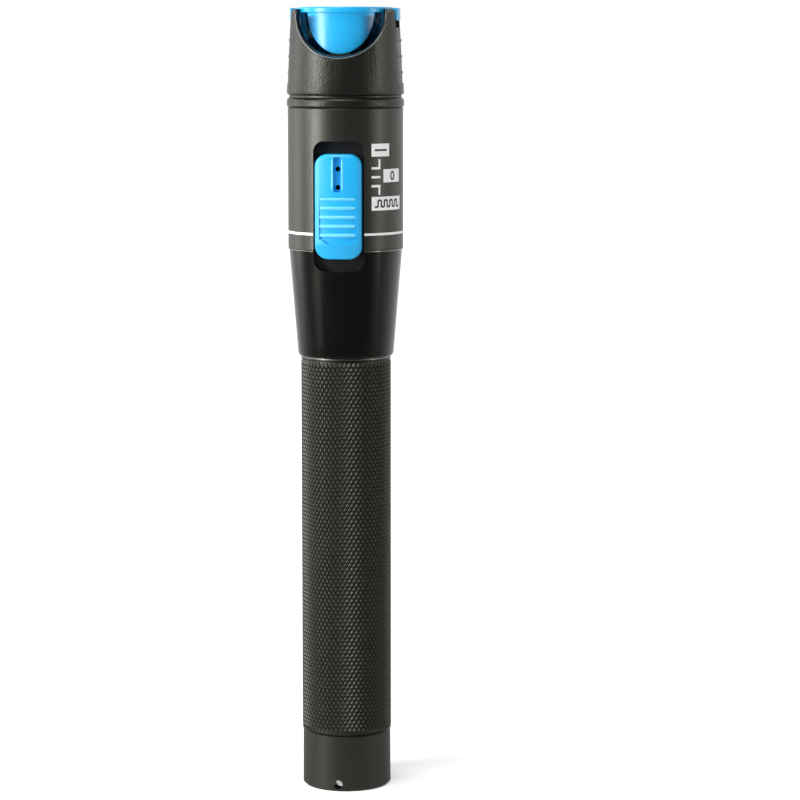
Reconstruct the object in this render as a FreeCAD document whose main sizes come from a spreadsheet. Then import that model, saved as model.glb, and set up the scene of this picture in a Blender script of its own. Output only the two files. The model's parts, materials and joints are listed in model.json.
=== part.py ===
"""Visual fault locator: a pen-sized laser source for finding breaks in optical fibre.

The pen stands on its tail cap.  Z is up along the pen, the thumb switch faces -Y, and all
sizes are in millimetres.
"""
import FreeCAD, Part
import math
import os
import re

import Sketcher

SIZES = {
    # tail cap
    "cap_len": 12.7, "cap_step": 0.18, "cap_flare": 0.08, "cap_wall": 2.95, "cap_edge": 0.5,
    "rim_edge": 0.2, "cap_recess_deep": 3.4, "cap_floor": 2.0, "cap_turn": -4.0,
    "lanyard_rad": 1.02, "lanyard_high": 1.6, "seam_gap": 0.12,
    # screw joint between cap and tube, with its seal
    "thread_len": 6.9, "thread_wall": 1.2, "thread_gap": 0.1,
    "seal_groove": 0.65, "seal_wire": 0.33, "seal_drop": 1.5, "seal_wide": 0.9,
    # spring contact
    "plate_in": 0.5, "plate_thick": 0.4, "rivet_rad": 1.2,
    "spring_len": 8.2, "spring_wire": 0.4, "spring_in": 1.0, "spring_cone": -9.0,
    "spring_turns": 4.5,
    # grip tube and cells
    "tube_wall": 2.65, "cell_gap": 0.3, "tube_edge": 0.15,
    "land_len": 0.5, "land_proud": 0.05, "tube_top_len": 6.0, "tube_top_wall": 1.9, "fit_gap": 0.05,
    "cell_rad": 7.1, "cell_len": 50.5, "cell_edge": 0.5, "nub_rad": 2.75, "nub_len": 1.0,
    # cone sleeve and barrel
    "cone_len": 24.0, "cone_foot": 0.6, "cone_step": 0.2, "cone_edge": 0.8,
    "cone_gap": 0.7, "barrel_len": 31.2, "barrel_rad": 12.8, "barrel_wall": 1.35,
    "barrel_edge": 0.15,
    "slot_len": 28.4, "slot_half": 5.55, "slot_corner": 2.3, "slot_drop": 4.4,
    # inner chassis
    "chassis_sink": 7.0, "chassis_wall": 1.4, "bulkhead": 2.0,
    "top_bulkhead": 3.0, "deck_in": 1.85, "deck_thick": 1.4, "deck_margin": 1.0,
    "back_in": 1.5, "back_start": 2.0, "boss_rad": 1.6,
    "contact_rad": 5.0, "contact_thick": 0.4, "tab_half": 1.2, "tab_len": 6.4, "tab_gap": 0.2,
    "clip_half": 1.5, "clip_thick": 0.3, "clip_rise": 0.5, "clip_tab": 4.0,
    # circuit board and what it carries
    "board_front": 1.04, "board_thick": 0.8, "board_half": 7.5, "board_rise": 1.5,
    "board_gap": 0.7, "board_corner": 1.0,
    "pcb_screw_side": 5.4, "pcb_screw_low": 5.0, "pcb_screw_high": 2.3,
    "pcb_screw_rad": 0.7, "pcb_screw_len": 5.2, "pcb_head_rad": 1.5, "pcb_head_thick": 0.9,
    "hole_gap": 0.15,
    "chip_wide": 3.9, "chip_long": 4.9, "chip_thick": 1.5, "chip_high": 14.0,
    "small_part": 1.6, "small_thick": 0.7, "small_pitch": 3.0,
    "case_half": 2.2, "case_len": 8.6, "case_deep": 5.0, "case_wall": 0.4, "case_top": 0.6,
    "carrier_half": 1.6, "carrier_len": 3.4, "carrier_deep": 3.6, "carrier_gap": 0.5,
    "lever_half": 0.75, "lever_len": 1.6, "lever_reach": 1.5, "switch_travel": 2.0,
    "window_gap": 0.25,
    "led_rad": 1.5, "led_flange": 1.7, "led_flange_thick": 0.8, "led_stand": 3.2,
    "led_sunk": 1.4, "led_dome": 1.3, "led_lead": 0.25, "led_lead_side": 1.0, "led_up": 6.25,
    # thumb slider
    "slider_len": 23.0, "slider_half": 5.1, "slider_corner": 2.8, "slider_proud": 1.15,
    "slider_gap": 0.3, "slider_wall": 1.1, "slider_hollow": 1.8,
    "slope_len": 3.1, "slope_drop": 1.1, "slope_round": 2.0, "slider_edge": 0.7,
    "top_slope_len": 1.0, "top_slope_drop": 0.5,
    "stud_half": 2.0, "stud_len": 4.6, "socket_deep": 1.6, "socket_gap": 0.02,
    "led_hole_rad": 0.575, "track_half": 0.85, "track_len": 7.7, "track_up": 3.2,
    "track_deep": 1.05, "track_corner": 0.5,
    "dish_high": 2.9, "dish_low": 8.6, "dish_depth": 0.45, "dish_angle": 34.0,
    "smile_rad": 5.2, "smile_rise": 1.5,
    "rib_count": 5, "rib_pitch": 1.98, "rib_wide": 0.75, "rib_angle": 31.5, "rib_low": 6.2,
    "rib_proud": 0.06,
    # laser module
    "holder_rad": 5.0, "holder_drop": 3.0, "nose_step": 0.5, "nose_len": 3.0,
    "exit_rad": 1.6, "exit_len": 2.2, "lens_rad": 2.2, "lens_len": 2.5, "lens_bay": 3.0,
    "can_bay_rad": 2.4, "can_bay_len": 4.8, "can_rad": 1.9, "can_len": 3.4,
    "diode_rad": 2.8, "diode_thick": 1.2, "pin_rad": 0.225, "pin_overlap": 4.8,
    "pin_circle": 1.27,
    # neck ring
    "ring_len": 2.2, "ring_proud": 0.2, "ring_low_edge": 0.35, "ring_top_edge": 0.5,
    "groove_len": 0.6, "groove_deep": 0.55, "skirt_len": 3.2, "skirt_wall": 1.5,
    "plug_wall": 1.5, "plug_len": 4.0,
    "head_screw_in": 2.05, "head_screw_rad": 0.8, "head_screw_len": 7.2,
    "screw_head_rad": 1.5, "screw_head_thick": 1.2, "screw_boss_rad": 1.45,
    # head cover
    "head_len": 18.8, "head_taper": 0.8, "head_wall": 2.05, "head_edge": 0.5,
    "head_low_edge": 0.3, "cup_floor": 7.0, "floor_thick": 2.0,
    "notch_sink": 0.8, "notch_clear": 1.0, "notch_wide": 1.23, "notch_tall": 10.67,
    "notch_deep": 5.95, "notch_narrow": 2.03, "notch_in_tall": 7.07,
    "ear_slot_angle": 37.0, "ear_slot_deep": 4.1, "grip_angle": 34.0, "grip_deep": 0.4,
    "grip_low": 2.6, "grip_pitch": 3.45, "grip_rib": 0.65, "grip_first": 2.0,
    "grip_next": 2.85,
    "rear_start": 5.0, "rear_drop": 1.1, "hinge_slot_half": 6.6, "hinge_slot_deep": 4.6,
    "lug_in": 3.2, "lug_thick": 2.0, "lug_rad": 1.3, "lug_foot": 7.3,
    # dust lid and its hinge
    "hinge_in": 1.05, "hinge_drop": 2.5, "hinge_pin_rad": 0.6, "hinge_pin_gap": 0.05,
    "lid_gap": 0.2, "lid_sink": 0.8, "lid_proud": 0.4, "lid_edge": 0.3,
    "lid_rim": 0.45, "lid_draft": 0.7, "lid_skirt_deep": 10.0, "lid_wall": 1.2,
    "tongue_in": 3.55, "tongue_taller": 1.65, "tongue_back": 3.5,
    "lid_back_in": 2.4, "knuckle_half": 2.9, "knuckle_rad": 1.35,
    "ear_angle": 30.0, "ear_deep": 2.5, "ear_proud": 0.2, "ear_sunk": 0.85,
    "pad_rad": 3.2, "pad_thick": 2.3, "pad_gap": 0.3,
    # fibre port
    "flange_rad": 6.2, "port_thread_rad": 4.0, "port_thread_len": 2.6, "port_nose_rad": 3.4,
    "port_edge": 0.3, "light_rad": 0.9, "light_len": 1.5,
    "sleeve_rad": 1.6, "ferrule_rad": 1.25, "sleeve_edge": 0.15, "sleeve_gap": 0.02,
    "nut_flats": 10.0, "nut_thick": 2.0,
}

# widths of the pen, worked out from the cells and from the barrel
TUBE_BORE = "(cell_rad + cell_gap)"
TUBE_RAD = f"({TUBE_BORE} + tube_wall)"
LAND_RAD = f"({TUBE_RAD} + land_proud)"
THREAD_RAD = f"({TUBE_BORE} + thread_wall)"
TUBE_TOP_RAD = f"({TUBE_BORE} + tube_top_wall)"
CAP_RAD = f"({TUBE_RAD} - cap_step)"
CAP_LOW_RAD = f"({CAP_RAD} + cap_flare)"
CAP_RECESS_RAD = f"({CAP_LOW_RAD} - cap_wall)"
PLATE_RAD = "(cell_rad - plate_in)"
SPRING_LOW_RAD = f"({PLATE_RAD} - spring_in)"
CONE_LOW_RAD = f"({TUBE_RAD} + cone_foot)"
CONE_BORE = "(cell_rad + cone_gap)"
CONE_TOP_RAD = "(barrel_rad - cone_step)"
BAY_RAD = "(barrel_rad - barrel_wall)"
CHASSIS_RAD = f"({BAY_RAD} - fit_gap)"
CHASSIS_BORE = f"({CHASSIS_RAD} - chassis_wall)"
BACK_HALF = f"({CHASSIS_BORE} - back_in)"
DECK_FRONT = f"({BAY_RAD} - deck_in)"
DECK_BACK = f"({DECK_FRONT} - deck_thick)"
SLIDER_FLOOR = f"({DECK_FRONT} + slider_gap)"
SLIDER_CROWN = "(barrel_rad + slider_proud)"
TRACK_FLOOR = f"({SLIDER_CROWN} - track_deep)"
LEVER_END = f"({SLIDER_FLOOR} + lever_reach)"
LED_TIP = f"({DECK_FRONT} - led_sunk)"
RING_RAD = "(barrel_rad + ring_proud)"
GROOVE_RAD = f"({RING_RAD} - groove_deep)"
SKIRT_RAD = f"({CHASSIS_RAD} - skirt_wall)"
HEAD_SCREW_CIRCLE = f"({SKIRT_RAD} - head_screw_in)"
HEAD_TOP_RAD = f"({RING_RAD} - head_taper)"
NOSE_RAD = "(holder_rad - nose_step)"
CUP_RAD = f"({RING_RAD} - head_wall)"
PLUG_RAD = f"({CUP_RAD} - fit_gap)"
PLUG_BORE = f"({PLUG_RAD} - plug_wall)"
NOTCH_OUT = f"({RING_RAD} + notch_clear)"
NOTCH_OUT_HALF = f"({RING_RAD} + notch_wide)"
NOTCH_IN = f"({CUP_RAD} - notch_deep)"
NOTCH_IN_HALF = f"({CUP_RAD} - notch_narrow)"
TONGUE_HALF = f"({CUP_RAD} - tongue_in)"
TONGUE_HIGH = f"({TONGUE_HALF} + tongue_taller)"
LID_RAD = f"({CUP_RAD} - lid_gap)"
LID_SKIRT_TOP = f"({LID_RAD} - lid_rim)"
LID_SKIRT_LOW = f"({LID_SKIRT_TOP} - lid_draft)"
EAR_ROOT = f"({LID_RAD} - ear_sunk)"
HINGE_BACK = f"({CUP_RAD} - hinge_in)"
LID_BACK = f"({HINGE_BACK} - lid_back_in)"

# heights along the pen, worked out from the lengths of the pieces
TUBE_LOW = "(cap_len + seam_gap)"
SPIGOT_LOW = "(cap_len - thread_len)"
CAP_FLOOR = "(cap_recess_deep + cap_floor)"
CELL_LOW = f"({CAP_FLOOR} + plate_thick + spring_len)"
CHASSIS_LOW = f"({CELL_LOW} + 2 * cell_len)"
BARREL_LOW = f"({CHASSIS_LOW} + chassis_sink)"
TUBE_TOP = f"({BARREL_LOW} - cone_len)"
NECK_LOW = f"({BARREL_LOW} + barrel_len)"
HEAD_LOW = f"({NECK_LOW} + ring_len + groove_len)"
HEAD_TOP = f"({HEAD_LOW} + head_len)"
CUP_FLOOR = f"({HEAD_LOW} + cup_floor)"
FLOOR_UNDER = f"({CUP_FLOOR} - floor_thick)"
CHASSIS_TOP = f"({NECK_LOW} - skirt_len)"
SLOT_MID = f"({BARREL_LOW} - slot_drop + slot_len / 2)"
BOARD_LOW = f"({CHASSIS_LOW} + bulkhead + board_rise)"
HOLDER_LOW = f"({CHASSIS_TOP} - holder_drop)"
BOARD_TOP = f"({HOLDER_LOW} - board_gap)"
HOLDER_TOP = f"({HEAD_LOW} + nose_len)"
DIODE_SEAT = f"({HOLDER_TOP} - exit_len - lens_bay - can_bay_len)"
SLEEVE_LOW = f"({HOLDER_TOP} + light_len)"
CAP_MID_RAD = (f"({CAP_LOW_RAD} + ({CAP_RAD} - {CAP_LOW_RAD}) * (cap_recess_deep - cap_edge)"
               " / (cap_len - rim_edge - cap_edge))")
NOTCH_MID = f"({HEAD_TOP} - notch_sink)"
LID_UNDER = f"({HEAD_TOP} - lid_sink)"
PORT_TOP = f"({LID_UNDER} - pad_thick - pad_gap)"
LID_TOP = f"({HEAD_TOP} + lid_proud)"
HINGE_HIGH = f"({HEAD_TOP} - hinge_drop)"
BOARD_BACK = "(board_front - board_thick)"
SCREW_OFFSET = f"({HEAD_SCREW_CIRCLE} * sqrt(2) / 2)"
FAR = f"(2 * {RING_RAD})"

doc = FreeCAD.newDocument("visual_fault_locator")


# ---------------------------------------------------------------- shared helpers

def fill_sheet():
    """Put every driving size into the spreadsheet under its own alias."""
    sheet = doc.addObject("Spreadsheet::Sheet", "Sizes")
    for row, (alias, value) in enumerate(SIZES.items(), start=1):
        sheet.set(f"A{row}", alias)
        sheet.set(f"B{row}", str(value))
        sheet.setAlias(f"B{row}", alias)
    doc.recompute()
    return sheet


def bind(expression):
    """The same expression with each size's alias looked up in the spreadsheet."""
    return re.sub(r"[a-z_]+", lambda word: ("Sizes." if word.group() in SIZES else "")
                  + word.group(), expression)


def number(expression):
    return float(sheet.evalExpression(bind(expression)))


def origin_part(body, role):
    return [part for part in body.Origin.OriginFeatures if part.Role == role][0]


def new_body(label):
    body = doc.addObject("PartDesign::Body", label)
    body.Label = label
    return body


def sketch_on(body, role, offset="0"):
    """An empty sketch on one of the body's origin planes, moved along its normal."""
    sketch = body.newObject("Sketcher::SketchObject", body.Name + "_sketch")
    sketch.AttachmentSupport = (origin_part(body, role), [""])
    sketch.MapMode = "FlatFace"
    sketch.setExpression("AttachmentOffset.Base.z", bind(offset))
    return sketch


def constrain(sketch, kind, *what, value):
    """Add a dimension to the sketch and bind it to an expression."""
    place = sketch.addConstraint(Sketcher.Constraint(kind, *what, number(value)))
    sketch.setExpression(f"Constraints[{place}]", bind(value))


def polygon(sketch, points):
    """A closed outline of straight sides through (across, up) points."""
    spots = [FreeCAD.Vector(number(across), number(up), 0) for across, up in points]
    first = sketch.GeometryCount
    count = len(points)
    for step in range(count):
        sketch.addGeometry(Part.LineSegment(spots[step], spots[(step + 1) % count]))
    for step, (across, up) in enumerate(points):
        line = first + step
        following = first + (step + 1) % count
        sketch.addConstraint(Sketcher.Constraint("Coincident", line, 2, following, 1))
        constrain(sketch, "DistanceX", line, 1, value=across)
        constrain(sketch, "DistanceY", line, 1, value=up)
    return sketch


def rectangle(sketch, left, right, low, high):
    return polygon(sketch, [(left, low), (right, low), (right, high), (left, high)])


def rounded(sketch, half, low, high, corner):
    """A rectangle centred across the sketch, with round corners."""
    wide, base, top, radius = number(half), number(low), number(high), number(corner)
    inner = wide - radius
    ends = [((-inner, base), (inner, base)), ((wide, base + radius), (wide, top - radius)),
            ((inner, top), (-inner, top)), ((-wide, top - radius), (-wide, base + radius))]
    centres = [(inner, base + radius), (inner, top - radius), (-inner, top - radius),
               (-inner, base + radius)]
    for start, end in ends:
        sketch.addGeometry(Part.LineSegment(FreeCAD.Vector(*start), FreeCAD.Vector(*end)))
    for turn, centre in enumerate(centres):
        circle = Part.Circle(FreeCAD.Vector(*centre), FreeCAD.Vector(0, 0, 1), radius)
        begin = (turn - 1) * math.pi / 2
        sketch.addGeometry(Part.ArcOfCircle(circle, begin, begin + math.pi / 2))
    for side in range(4):
        sketch.addConstraint(Sketcher.Constraint("Tangent", side, 2, 4 + side, 1))
        sketch.addConstraint(Sketcher.Constraint("Tangent", 4 + side, 2, (side + 1) % 4, 1))
    for side, kind in enumerate(("Horizontal", "Vertical", "Horizontal", "Vertical")):
        sketch.addConstraint(Sketcher.Constraint(kind, side))
    for turn in (5, 6, 7):
        sketch.addConstraint(Sketcher.Constraint("Equal", 4, turn))
    constrain(sketch, "Radius", 4, value=corner)
    constrain(sketch, "DistanceX", 1, 1, value=half)
    constrain(sketch, "DistanceX", 3, 1, value=f"-({half})")
    constrain(sketch, "DistanceY", 0, 1, value=low)
    constrain(sketch, "DistanceY", 2, 1, value=high)
    return sketch


def circle(sketch, across, up, radius):
    spot = FreeCAD.Vector(number(across), number(up), 0)
    index = sketch.addGeometry(Part.Circle(spot, FreeCAD.Vector(0, 0, 1), number(radius)))
    constrain(sketch, "Radius", index, value=radius)
    constrain(sketch, "DistanceX", index, 3, value=across)
    constrain(sketch, "DistanceY", index, 3, value=up)
    return sketch


def ellipse(sketch, up, half, tall, upright=False):
    """An ellipse centred across the sketch; its long axis lies level unless it is upright."""
    centre = FreeCAD.Vector(0, number(up), 0)
    high = centre + FreeCAD.Vector(0, number(tall), 0)
    side = centre + FreeCAD.Vector(number(half), 0, 0)
    ends = (high, side) if upright else (side, high)
    sizes = (tall, half) if upright else (half, tall)
    sketch.addGeometry(Part.Ellipse(*ends, centre))
    sketch.exposeInternalGeometry(0)
    sketch.addConstraint(Sketcher.Constraint("Vertical" if upright else "Horizontal", 1))
    constrain(sketch, "DistanceX", 0, 3, value="0")
    constrain(sketch, "DistanceY", 0, 3, value=up)
    constrain(sketch, "Distance", 1, value=f"2 * {sizes[0]}")
    constrain(sketch, "Distance", 2, value=f"2 * {sizes[1]}")
    return sketch


def add_feature(body, kind, profile, removes, **bound):
    """A sketch-based feature that is checked to add or remove material as it should."""
    before = body.Shape.Volume if body.Tip else 0.0
    feature = body.newObject("PartDesign::" + kind, f"{body.Name}_{kind}")
    feature.Profile = profile
    for name, value in bound.items():
        if name == "ReferenceAxis":
            feature.ReferenceAxis = (profile, [value])
        elif isinstance(value, bool):
            setattr(feature, name, value)
        else:
            feature.setExpression(name, bind(value))
    doc.recompute()
    change = feature.Shape.Volume - before
    if change == 0 or (change < 0) != removes:
        raise RuntimeError(f"{feature.Name} changes the volume by {change}")
    return feature


def pad(body, profile, length, **options):
    return add_feature(body, "Pad", profile, False, Length=length, **options)


def pocket(body, profile, length, **options):
    return add_feature(body, "Pocket", profile, True, Length=length, **options)


def revolve(body, profile, angle="360", **options):
    return add_feature(body, "Revolution", profile, False, ReferenceAxis="V_Axis",
                       Angle=angle, **options)


def groove(body, profile, angle="360", **options):
    return add_feature(body, "Groove", profile, True, ReferenceAxis="V_Axis",
                       Angle=angle, **options)


def turned(label, points):
    """A piece turned about the pen's axis from a (radius, height) outline."""
    body = new_body(label)
    revolve(body, polygon(sketch_on(body, "XZ_Plane"), points))
    return body


def repeat_opposite(body, feature):
    """Repeat a feature on the other side of the pen's axis."""
    pattern = body.newObject("PartDesign::PolarPattern", body.Name + "_opposite")
    pattern.Originals = [feature]
    pattern.Axis = (origin_part(body, "Z_Axis"), [""])
    pattern.Angle = 360
    pattern.Occurrences = 2
    body.Tip = pattern
    doc.recompute()
    return pattern


def round_edges(body, radius, wanted):
    """Round the edges of the tip that the test picks out."""
    tip = body.Tip
    names = [f"Edge{index}" for index, edge in enumerate(tip.Shape.Edges, start=1)
             if wanted(edge)]
    fillet = body.newObject("PartDesign::Fillet", body.Name + "_rounding")
    fillet.Base = (tip, names)
    fillet.setExpression("Radius", bind(radius))
    doc.recompute()
    return fillet


def at_height(radius, height):
    """A test for the round edges that lie at one height with one radius."""
    def wanted(edge):
        box = edge.BoundBox
        flat = abs(box.ZMin - number(height)) < 1e-4 and abs(box.ZMax - number(height)) < 1e-4
        spot = edge.Vertexes[0].Point
        return flat and abs(math.hypot(spot.x, spot.y) - number(radius)) < 1e-3
    return wanted


def beyond(distance, reach="0"):
    """A test for edges wholly further from the axis than a distance, and this wide or wider."""
    def wanted(edge):
        start, end = edge.ParameterRange
        spots = [edge.valueAt(start + (end - start) * share) for share in (0.05, 0.5, 0.95)]
        wide = edge.BoundBox.XLength >= number(reach)
        return wide and all(math.hypot(spot.x, spot.y) > number(distance) for spot in spots)
    return wanted


def group(label, members):
    compound = doc.addObject("Part::Compound", label)
    compound.Label = label
    compound.Links = members
    return compound


def place(item, across="0", back="0", up="0", axis=None, angle=0):
    """Set a piece's placement, each coordinate bound to an expression."""
    turn = FreeCAD.Rotation(FreeCAD.Vector(*axis), angle) if axis else FreeCAD.Rotation()
    item.Placement = FreeCAD.Placement(FreeCAD.Vector(), turn)
    for name, value in (("x", across), ("y", back), ("z", up)):
        item.setExpression(f"Placement.Base.{name}", bind(value))
    return item


# ---------------------------------------------------------------- tail

def tail_cap():
    """The screwed cap, and flush under it the ring round the lanyard recess."""
    inner = f"({THREAD_RAD} + thread_gap)"
    cup = turned("tail_cap_cup", [
        ("0", "cap_recess_deep"), (CAP_MID_RAD, "cap_recess_deep"),
        (CAP_RAD, "cap_len - rim_edge"), (f"{CAP_RAD} - rim_edge", "cap_len"),
        (inner, "cap_len"), (inner, CAP_FLOOR), ("0", CAP_FLOOR)])
    ring = turned("tail_cap_ring", [
        (CAP_RECESS_RAD, "0"), (f"{CAP_LOW_RAD} - cap_edge", "0"), (CAP_LOW_RAD, "cap_edge"),
        (CAP_MID_RAD, "cap_recess_deep"), (CAP_RECESS_RAD, "cap_recess_deep")])
    hole = circle(sketch_on(ring, "XZ_Plane", FAR), "0", "lanyard_high", "lanyard_rad")
    pocket(ring, hole, f"{FAR} - {CAP_RECESS_RAD} / 2")
    place(ring, axis=(0, 0, 1), angle=1)
    ring.setExpression("Placement.Rotation.Angle", bind("cap_turn"))
    return group("tail_cap", [cup, ring])


def tail_seal_ring():
    """The rubber ring in the spigot's groove, its round section given as a hexagon."""
    middle = f"({THREAD_RAD} - seal_groove + seal_wire)"
    up = "(cap_len - seal_drop + seal_wide / 2)"
    half, tall = "seal_wire / 2", "seal_wire * sqrt(3) / 2"
    return turned("tail_seal_ring", [
        (f"{middle} - seal_wire", up), (f"{middle} - {half}", f"{up} - {tall}"),
        (f"{middle} + {half}", f"{up} - {tall}"), (f"{middle} + seal_wire", up),
        (f"{middle} + {half}", f"{up} + {tall}"), (f"{middle} - {half}", f"{up} + {tall}")])


def spring_plate():
    top = f"({CAP_FLOOR} + plate_thick)"
    return turned("spring_plate", [
        ("0", CAP_FLOOR), (PLATE_RAD, CAP_FLOOR), (PLATE_RAD, top), ("rivet_rad", top),
        ("rivet_rad", f"{top} + plate_thick"), ("0", f"{top} + plate_thick")])


def battery_spring():
    """A conical wire spring between the contact plate and the lower cell."""
    low = f"({CAP_FLOOR} + plate_thick + spring_wire)"
    rise = "(spring_len - 2 * spring_wire)"
    path = doc.addObject("Part::Helix", "spring_path")
    path.setExpression("Height", bind(rise))
    path.setExpression("Pitch", bind(f"{rise} / spring_turns"))
    path.setExpression("Radius", bind(SPRING_LOW_RAD))
    path.setExpression("Angle", bind("spring_cone"))
    place(path, up=low)
    wire = doc.addObject("Part::RegularPolygon", "spring_wire_section")
    wire.Polygon = 6
    wire.setExpression("Circumradius", bind("spring_wire"))
    place(wire, across=SPRING_LOW_RAD, up=low, axis=(1, 0, 0), angle=90)
    spring = doc.addObject("Part::Sweep", "battery_spring")
    spring.Sections = [wire]
    spring.Spine = (path, [])
    spring.Solid = True
    spring.Frenet = True
    return spring


# ---------------------------------------------------------------- grip, cone and barrel

def grip_tube():
    groove_low = "(cap_len - seal_drop)"
    groove_rad = f"({THREAD_RAD} - seal_groove)"
    return turned("grip_tube", [
        (TUBE_BORE, SPIGOT_LOW), (THREAD_RAD, SPIGOT_LOW), (THREAD_RAD, groove_low),
        (groove_rad, groove_low), (groove_rad, f"{groove_low} + seal_wide"),
        (THREAD_RAD, f"{groove_low} + seal_wide"), (THREAD_RAD, TUBE_LOW),
        (f"{TUBE_RAD} - tube_edge", TUBE_LOW), (TUBE_RAD, f"{TUBE_LOW} + tube_edge"),
        (TUBE_RAD, f"{TUBE_TOP} - land_len"), (LAND_RAD, f"{TUBE_TOP} - land_len"),
        (LAND_RAD, TUBE_TOP), (TUBE_TOP_RAD, TUBE_TOP),
        (TUBE_TOP_RAD, f"{TUBE_TOP} + tube_top_len"),
        (TUBE_BORE, f"{TUBE_TOP} + tube_top_len")])


def battery(label, low):
    shoulder = f"({low} + cell_len - nub_len)"
    return turned(label, [
        ("0", low), ("cell_rad - cell_edge", low), ("cell_rad", f"{low} + cell_edge"),
        ("cell_rad", f"{shoulder} - cell_edge"), ("cell_rad - cell_edge", shoulder),
        ("nub_rad", shoulder), ("nub_rad", f"{shoulder} + nub_len"),
        ("0", f"{shoulder} + nub_len")])


def cut_switch_slot(body):
    """The upright window that the thumb slider moves in."""
    sketch = sketch_on(body, "XZ_Plane", FAR)
    rounded(sketch, "slot_half", f"{SLOT_MID} - slot_len / 2", f"{SLOT_MID} + slot_len / 2",
            "slot_corner")
    pocket(body, sketch, f"{FAR} - {DECK_FRONT}")


def cone_sleeve():
    socket = f"({TUBE_TOP_RAD} + fit_gap)"
    body = turned("cone_sleeve", [
        (socket, TUBE_TOP), (CONE_LOW_RAD, TUBE_TOP), (CONE_TOP_RAD, BARREL_LOW),
        (BAY_RAD, BARREL_LOW), (BAY_RAD, CHASSIS_LOW), (CONE_BORE, CHASSIS_LOW),
        (CONE_BORE, f"{TUBE_TOP} + tube_top_len"), (socket, f"{TUBE_TOP} + tube_top_len")])
    round_edges(body, "cone_edge", at_height(CONE_LOW_RAD, TUBE_TOP))
    cut_switch_slot(body)
    return body


def barrel_shell():
    body = turned("barrel_shell", [
        (BAY_RAD, BARREL_LOW), ("barrel_rad - barrel_edge", BARREL_LOW),
        ("barrel_rad", f"{BARREL_LOW} + barrel_edge"),
        ("barrel_rad", f"{NECK_LOW} - barrel_edge"),
        ("barrel_rad - barrel_edge", NECK_LOW), (BAY_RAD, NECK_LOW)])
    cut_switch_slot(body)
    return body


# ---------------------------------------------------------------- chassis and board

def screw_spots():
    """Where the two board screws go: (across, up) on the board."""
    return (("pcb_screw_side", f"({BOARD_LOW} + pcb_screw_low)"),
            ("-pcb_screw_side", f"({BOARD_TOP} - pcb_screw_high)"))


def inner_chassis():
    """The moulded carrier: a drum cut away for the board, with a flat deck in front."""
    body = turned("inner_chassis", [
        ("0", CHASSIS_LOW), (CHASSIS_RAD, CHASSIS_LOW), (CHASSIS_RAD, CHASSIS_TOP),
        ("0", CHASSIS_TOP)])
    cavity_low = f"({CHASSIS_LOW} + bulkhead)"
    cavity_len = f"({CHASSIS_TOP} - top_bulkhead - {cavity_low})"
    cavity = sketch_on(body, "XY_Plane", cavity_low)
    radius, chord = number(CHASSIS_BORE), number(DECK_BACK)
    start = math.asin(-chord / radius)
    ring = Part.Circle(FreeCAD.Vector(), FreeCAD.Vector(0, 0, 1), radius)
    cavity.addGeometry(Part.ArcOfCircle(ring, start, math.pi - start))
    half = math.sqrt(radius ** 2 - chord ** 2)
    cavity.addGeometry(Part.LineSegment(FreeCAD.Vector(-half, -chord), FreeCAD.Vector(half, -chord)))
    cavity.addConstraint(Sketcher.Constraint("Coincident", 0, 3, -1, 1))
    cavity.addConstraint(Sketcher.Constraint("Coincident", 0, 2, 1, 1))
    cavity.addConstraint(Sketcher.Constraint("Coincident", 1, 2, 0, 1))
    cavity.addConstraint(Sketcher.Constraint("Horizontal", 1))
    constrain(cavity, "Radius", 0, value=CHASSIS_BORE)
    constrain(cavity, "DistanceY", 1, 1, value=f"-{DECK_BACK}")
    pocket(body, cavity, cavity_len, Reversed=True)
    opening = rectangle(sketch_on(body, "XZ_Plane", "-back_start"), f"-{BACK_HALF}", BACK_HALF,
                        cavity_low, f"{cavity_low} + {cavity_len}")
    pocket(body, opening, FAR)
    flat = rectangle(sketch_on(body, "XZ_Plane", FAR), f"-{FAR}", FAR,
                     f"{SLOT_MID} - slot_len / 2 - deck_margin",
                     f"{SLOT_MID} + slot_len / 2 + deck_margin")
    pocket(body, flat, f"{FAR} - {DECK_FRONT}")
    lever = rounded(sketch_on(body, "XZ_Plane", FAR), "lever_half + window_gap",
                    f"{SLOT_MID} - lever_len / 2 - switch_travel - window_gap",
                    f"{SLOT_MID} + lever_len / 2 + switch_travel + window_gap", "window_gap")
    pocket(body, lever, f"{FAR} - deck_thick")
    lamp = circle(sketch_on(body, "XZ_Plane", FAR), "0", f"{SLOT_MID} + led_up",
                  "led_rad + hole_gap")
    pocket(body, lamp, f"{FAR} - deck_thick")
    seat = circle(sketch_on(body, "XY_Plane", CHASSIS_LOW), "0", "0", "contact_rad + fit_gap")
    pocket(body, seat, "contact_thick", Reversed=True)
    slit = rectangle(sketch_on(body, "XY_Plane", CHASSIS_LOW), "-tab_half - tab_gap",
                     "tab_half + tab_gap", "-board_front - contact_thick - tab_gap",
                     "-board_front + tab_gap")
    pocket(body, slit, "bulkhead + contact_thick", Reversed=True)
    holder = circle(sketch_on(body, "XY_Plane", CHASSIS_TOP), "0", "0", "holder_rad + fit_gap")
    pocket(body, holder, "top_bulkhead + fit_gap")
    for across, up in screw_spots():
        pad(body, circle(sketch_on(body, "XZ_Plane", "board_front"), across, up, "boss_rad"),
            f"{DECK_BACK} - board_front + deck_thick / 2")
    for across, up in screw_spots():
        pilot = circle(sketch_on(body, "XZ_Plane", "board_front"), across, up, "pcb_screw_rad")
        pocket(body, pilot, "pcb_screw_len", Reversed=True)
    return body


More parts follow.
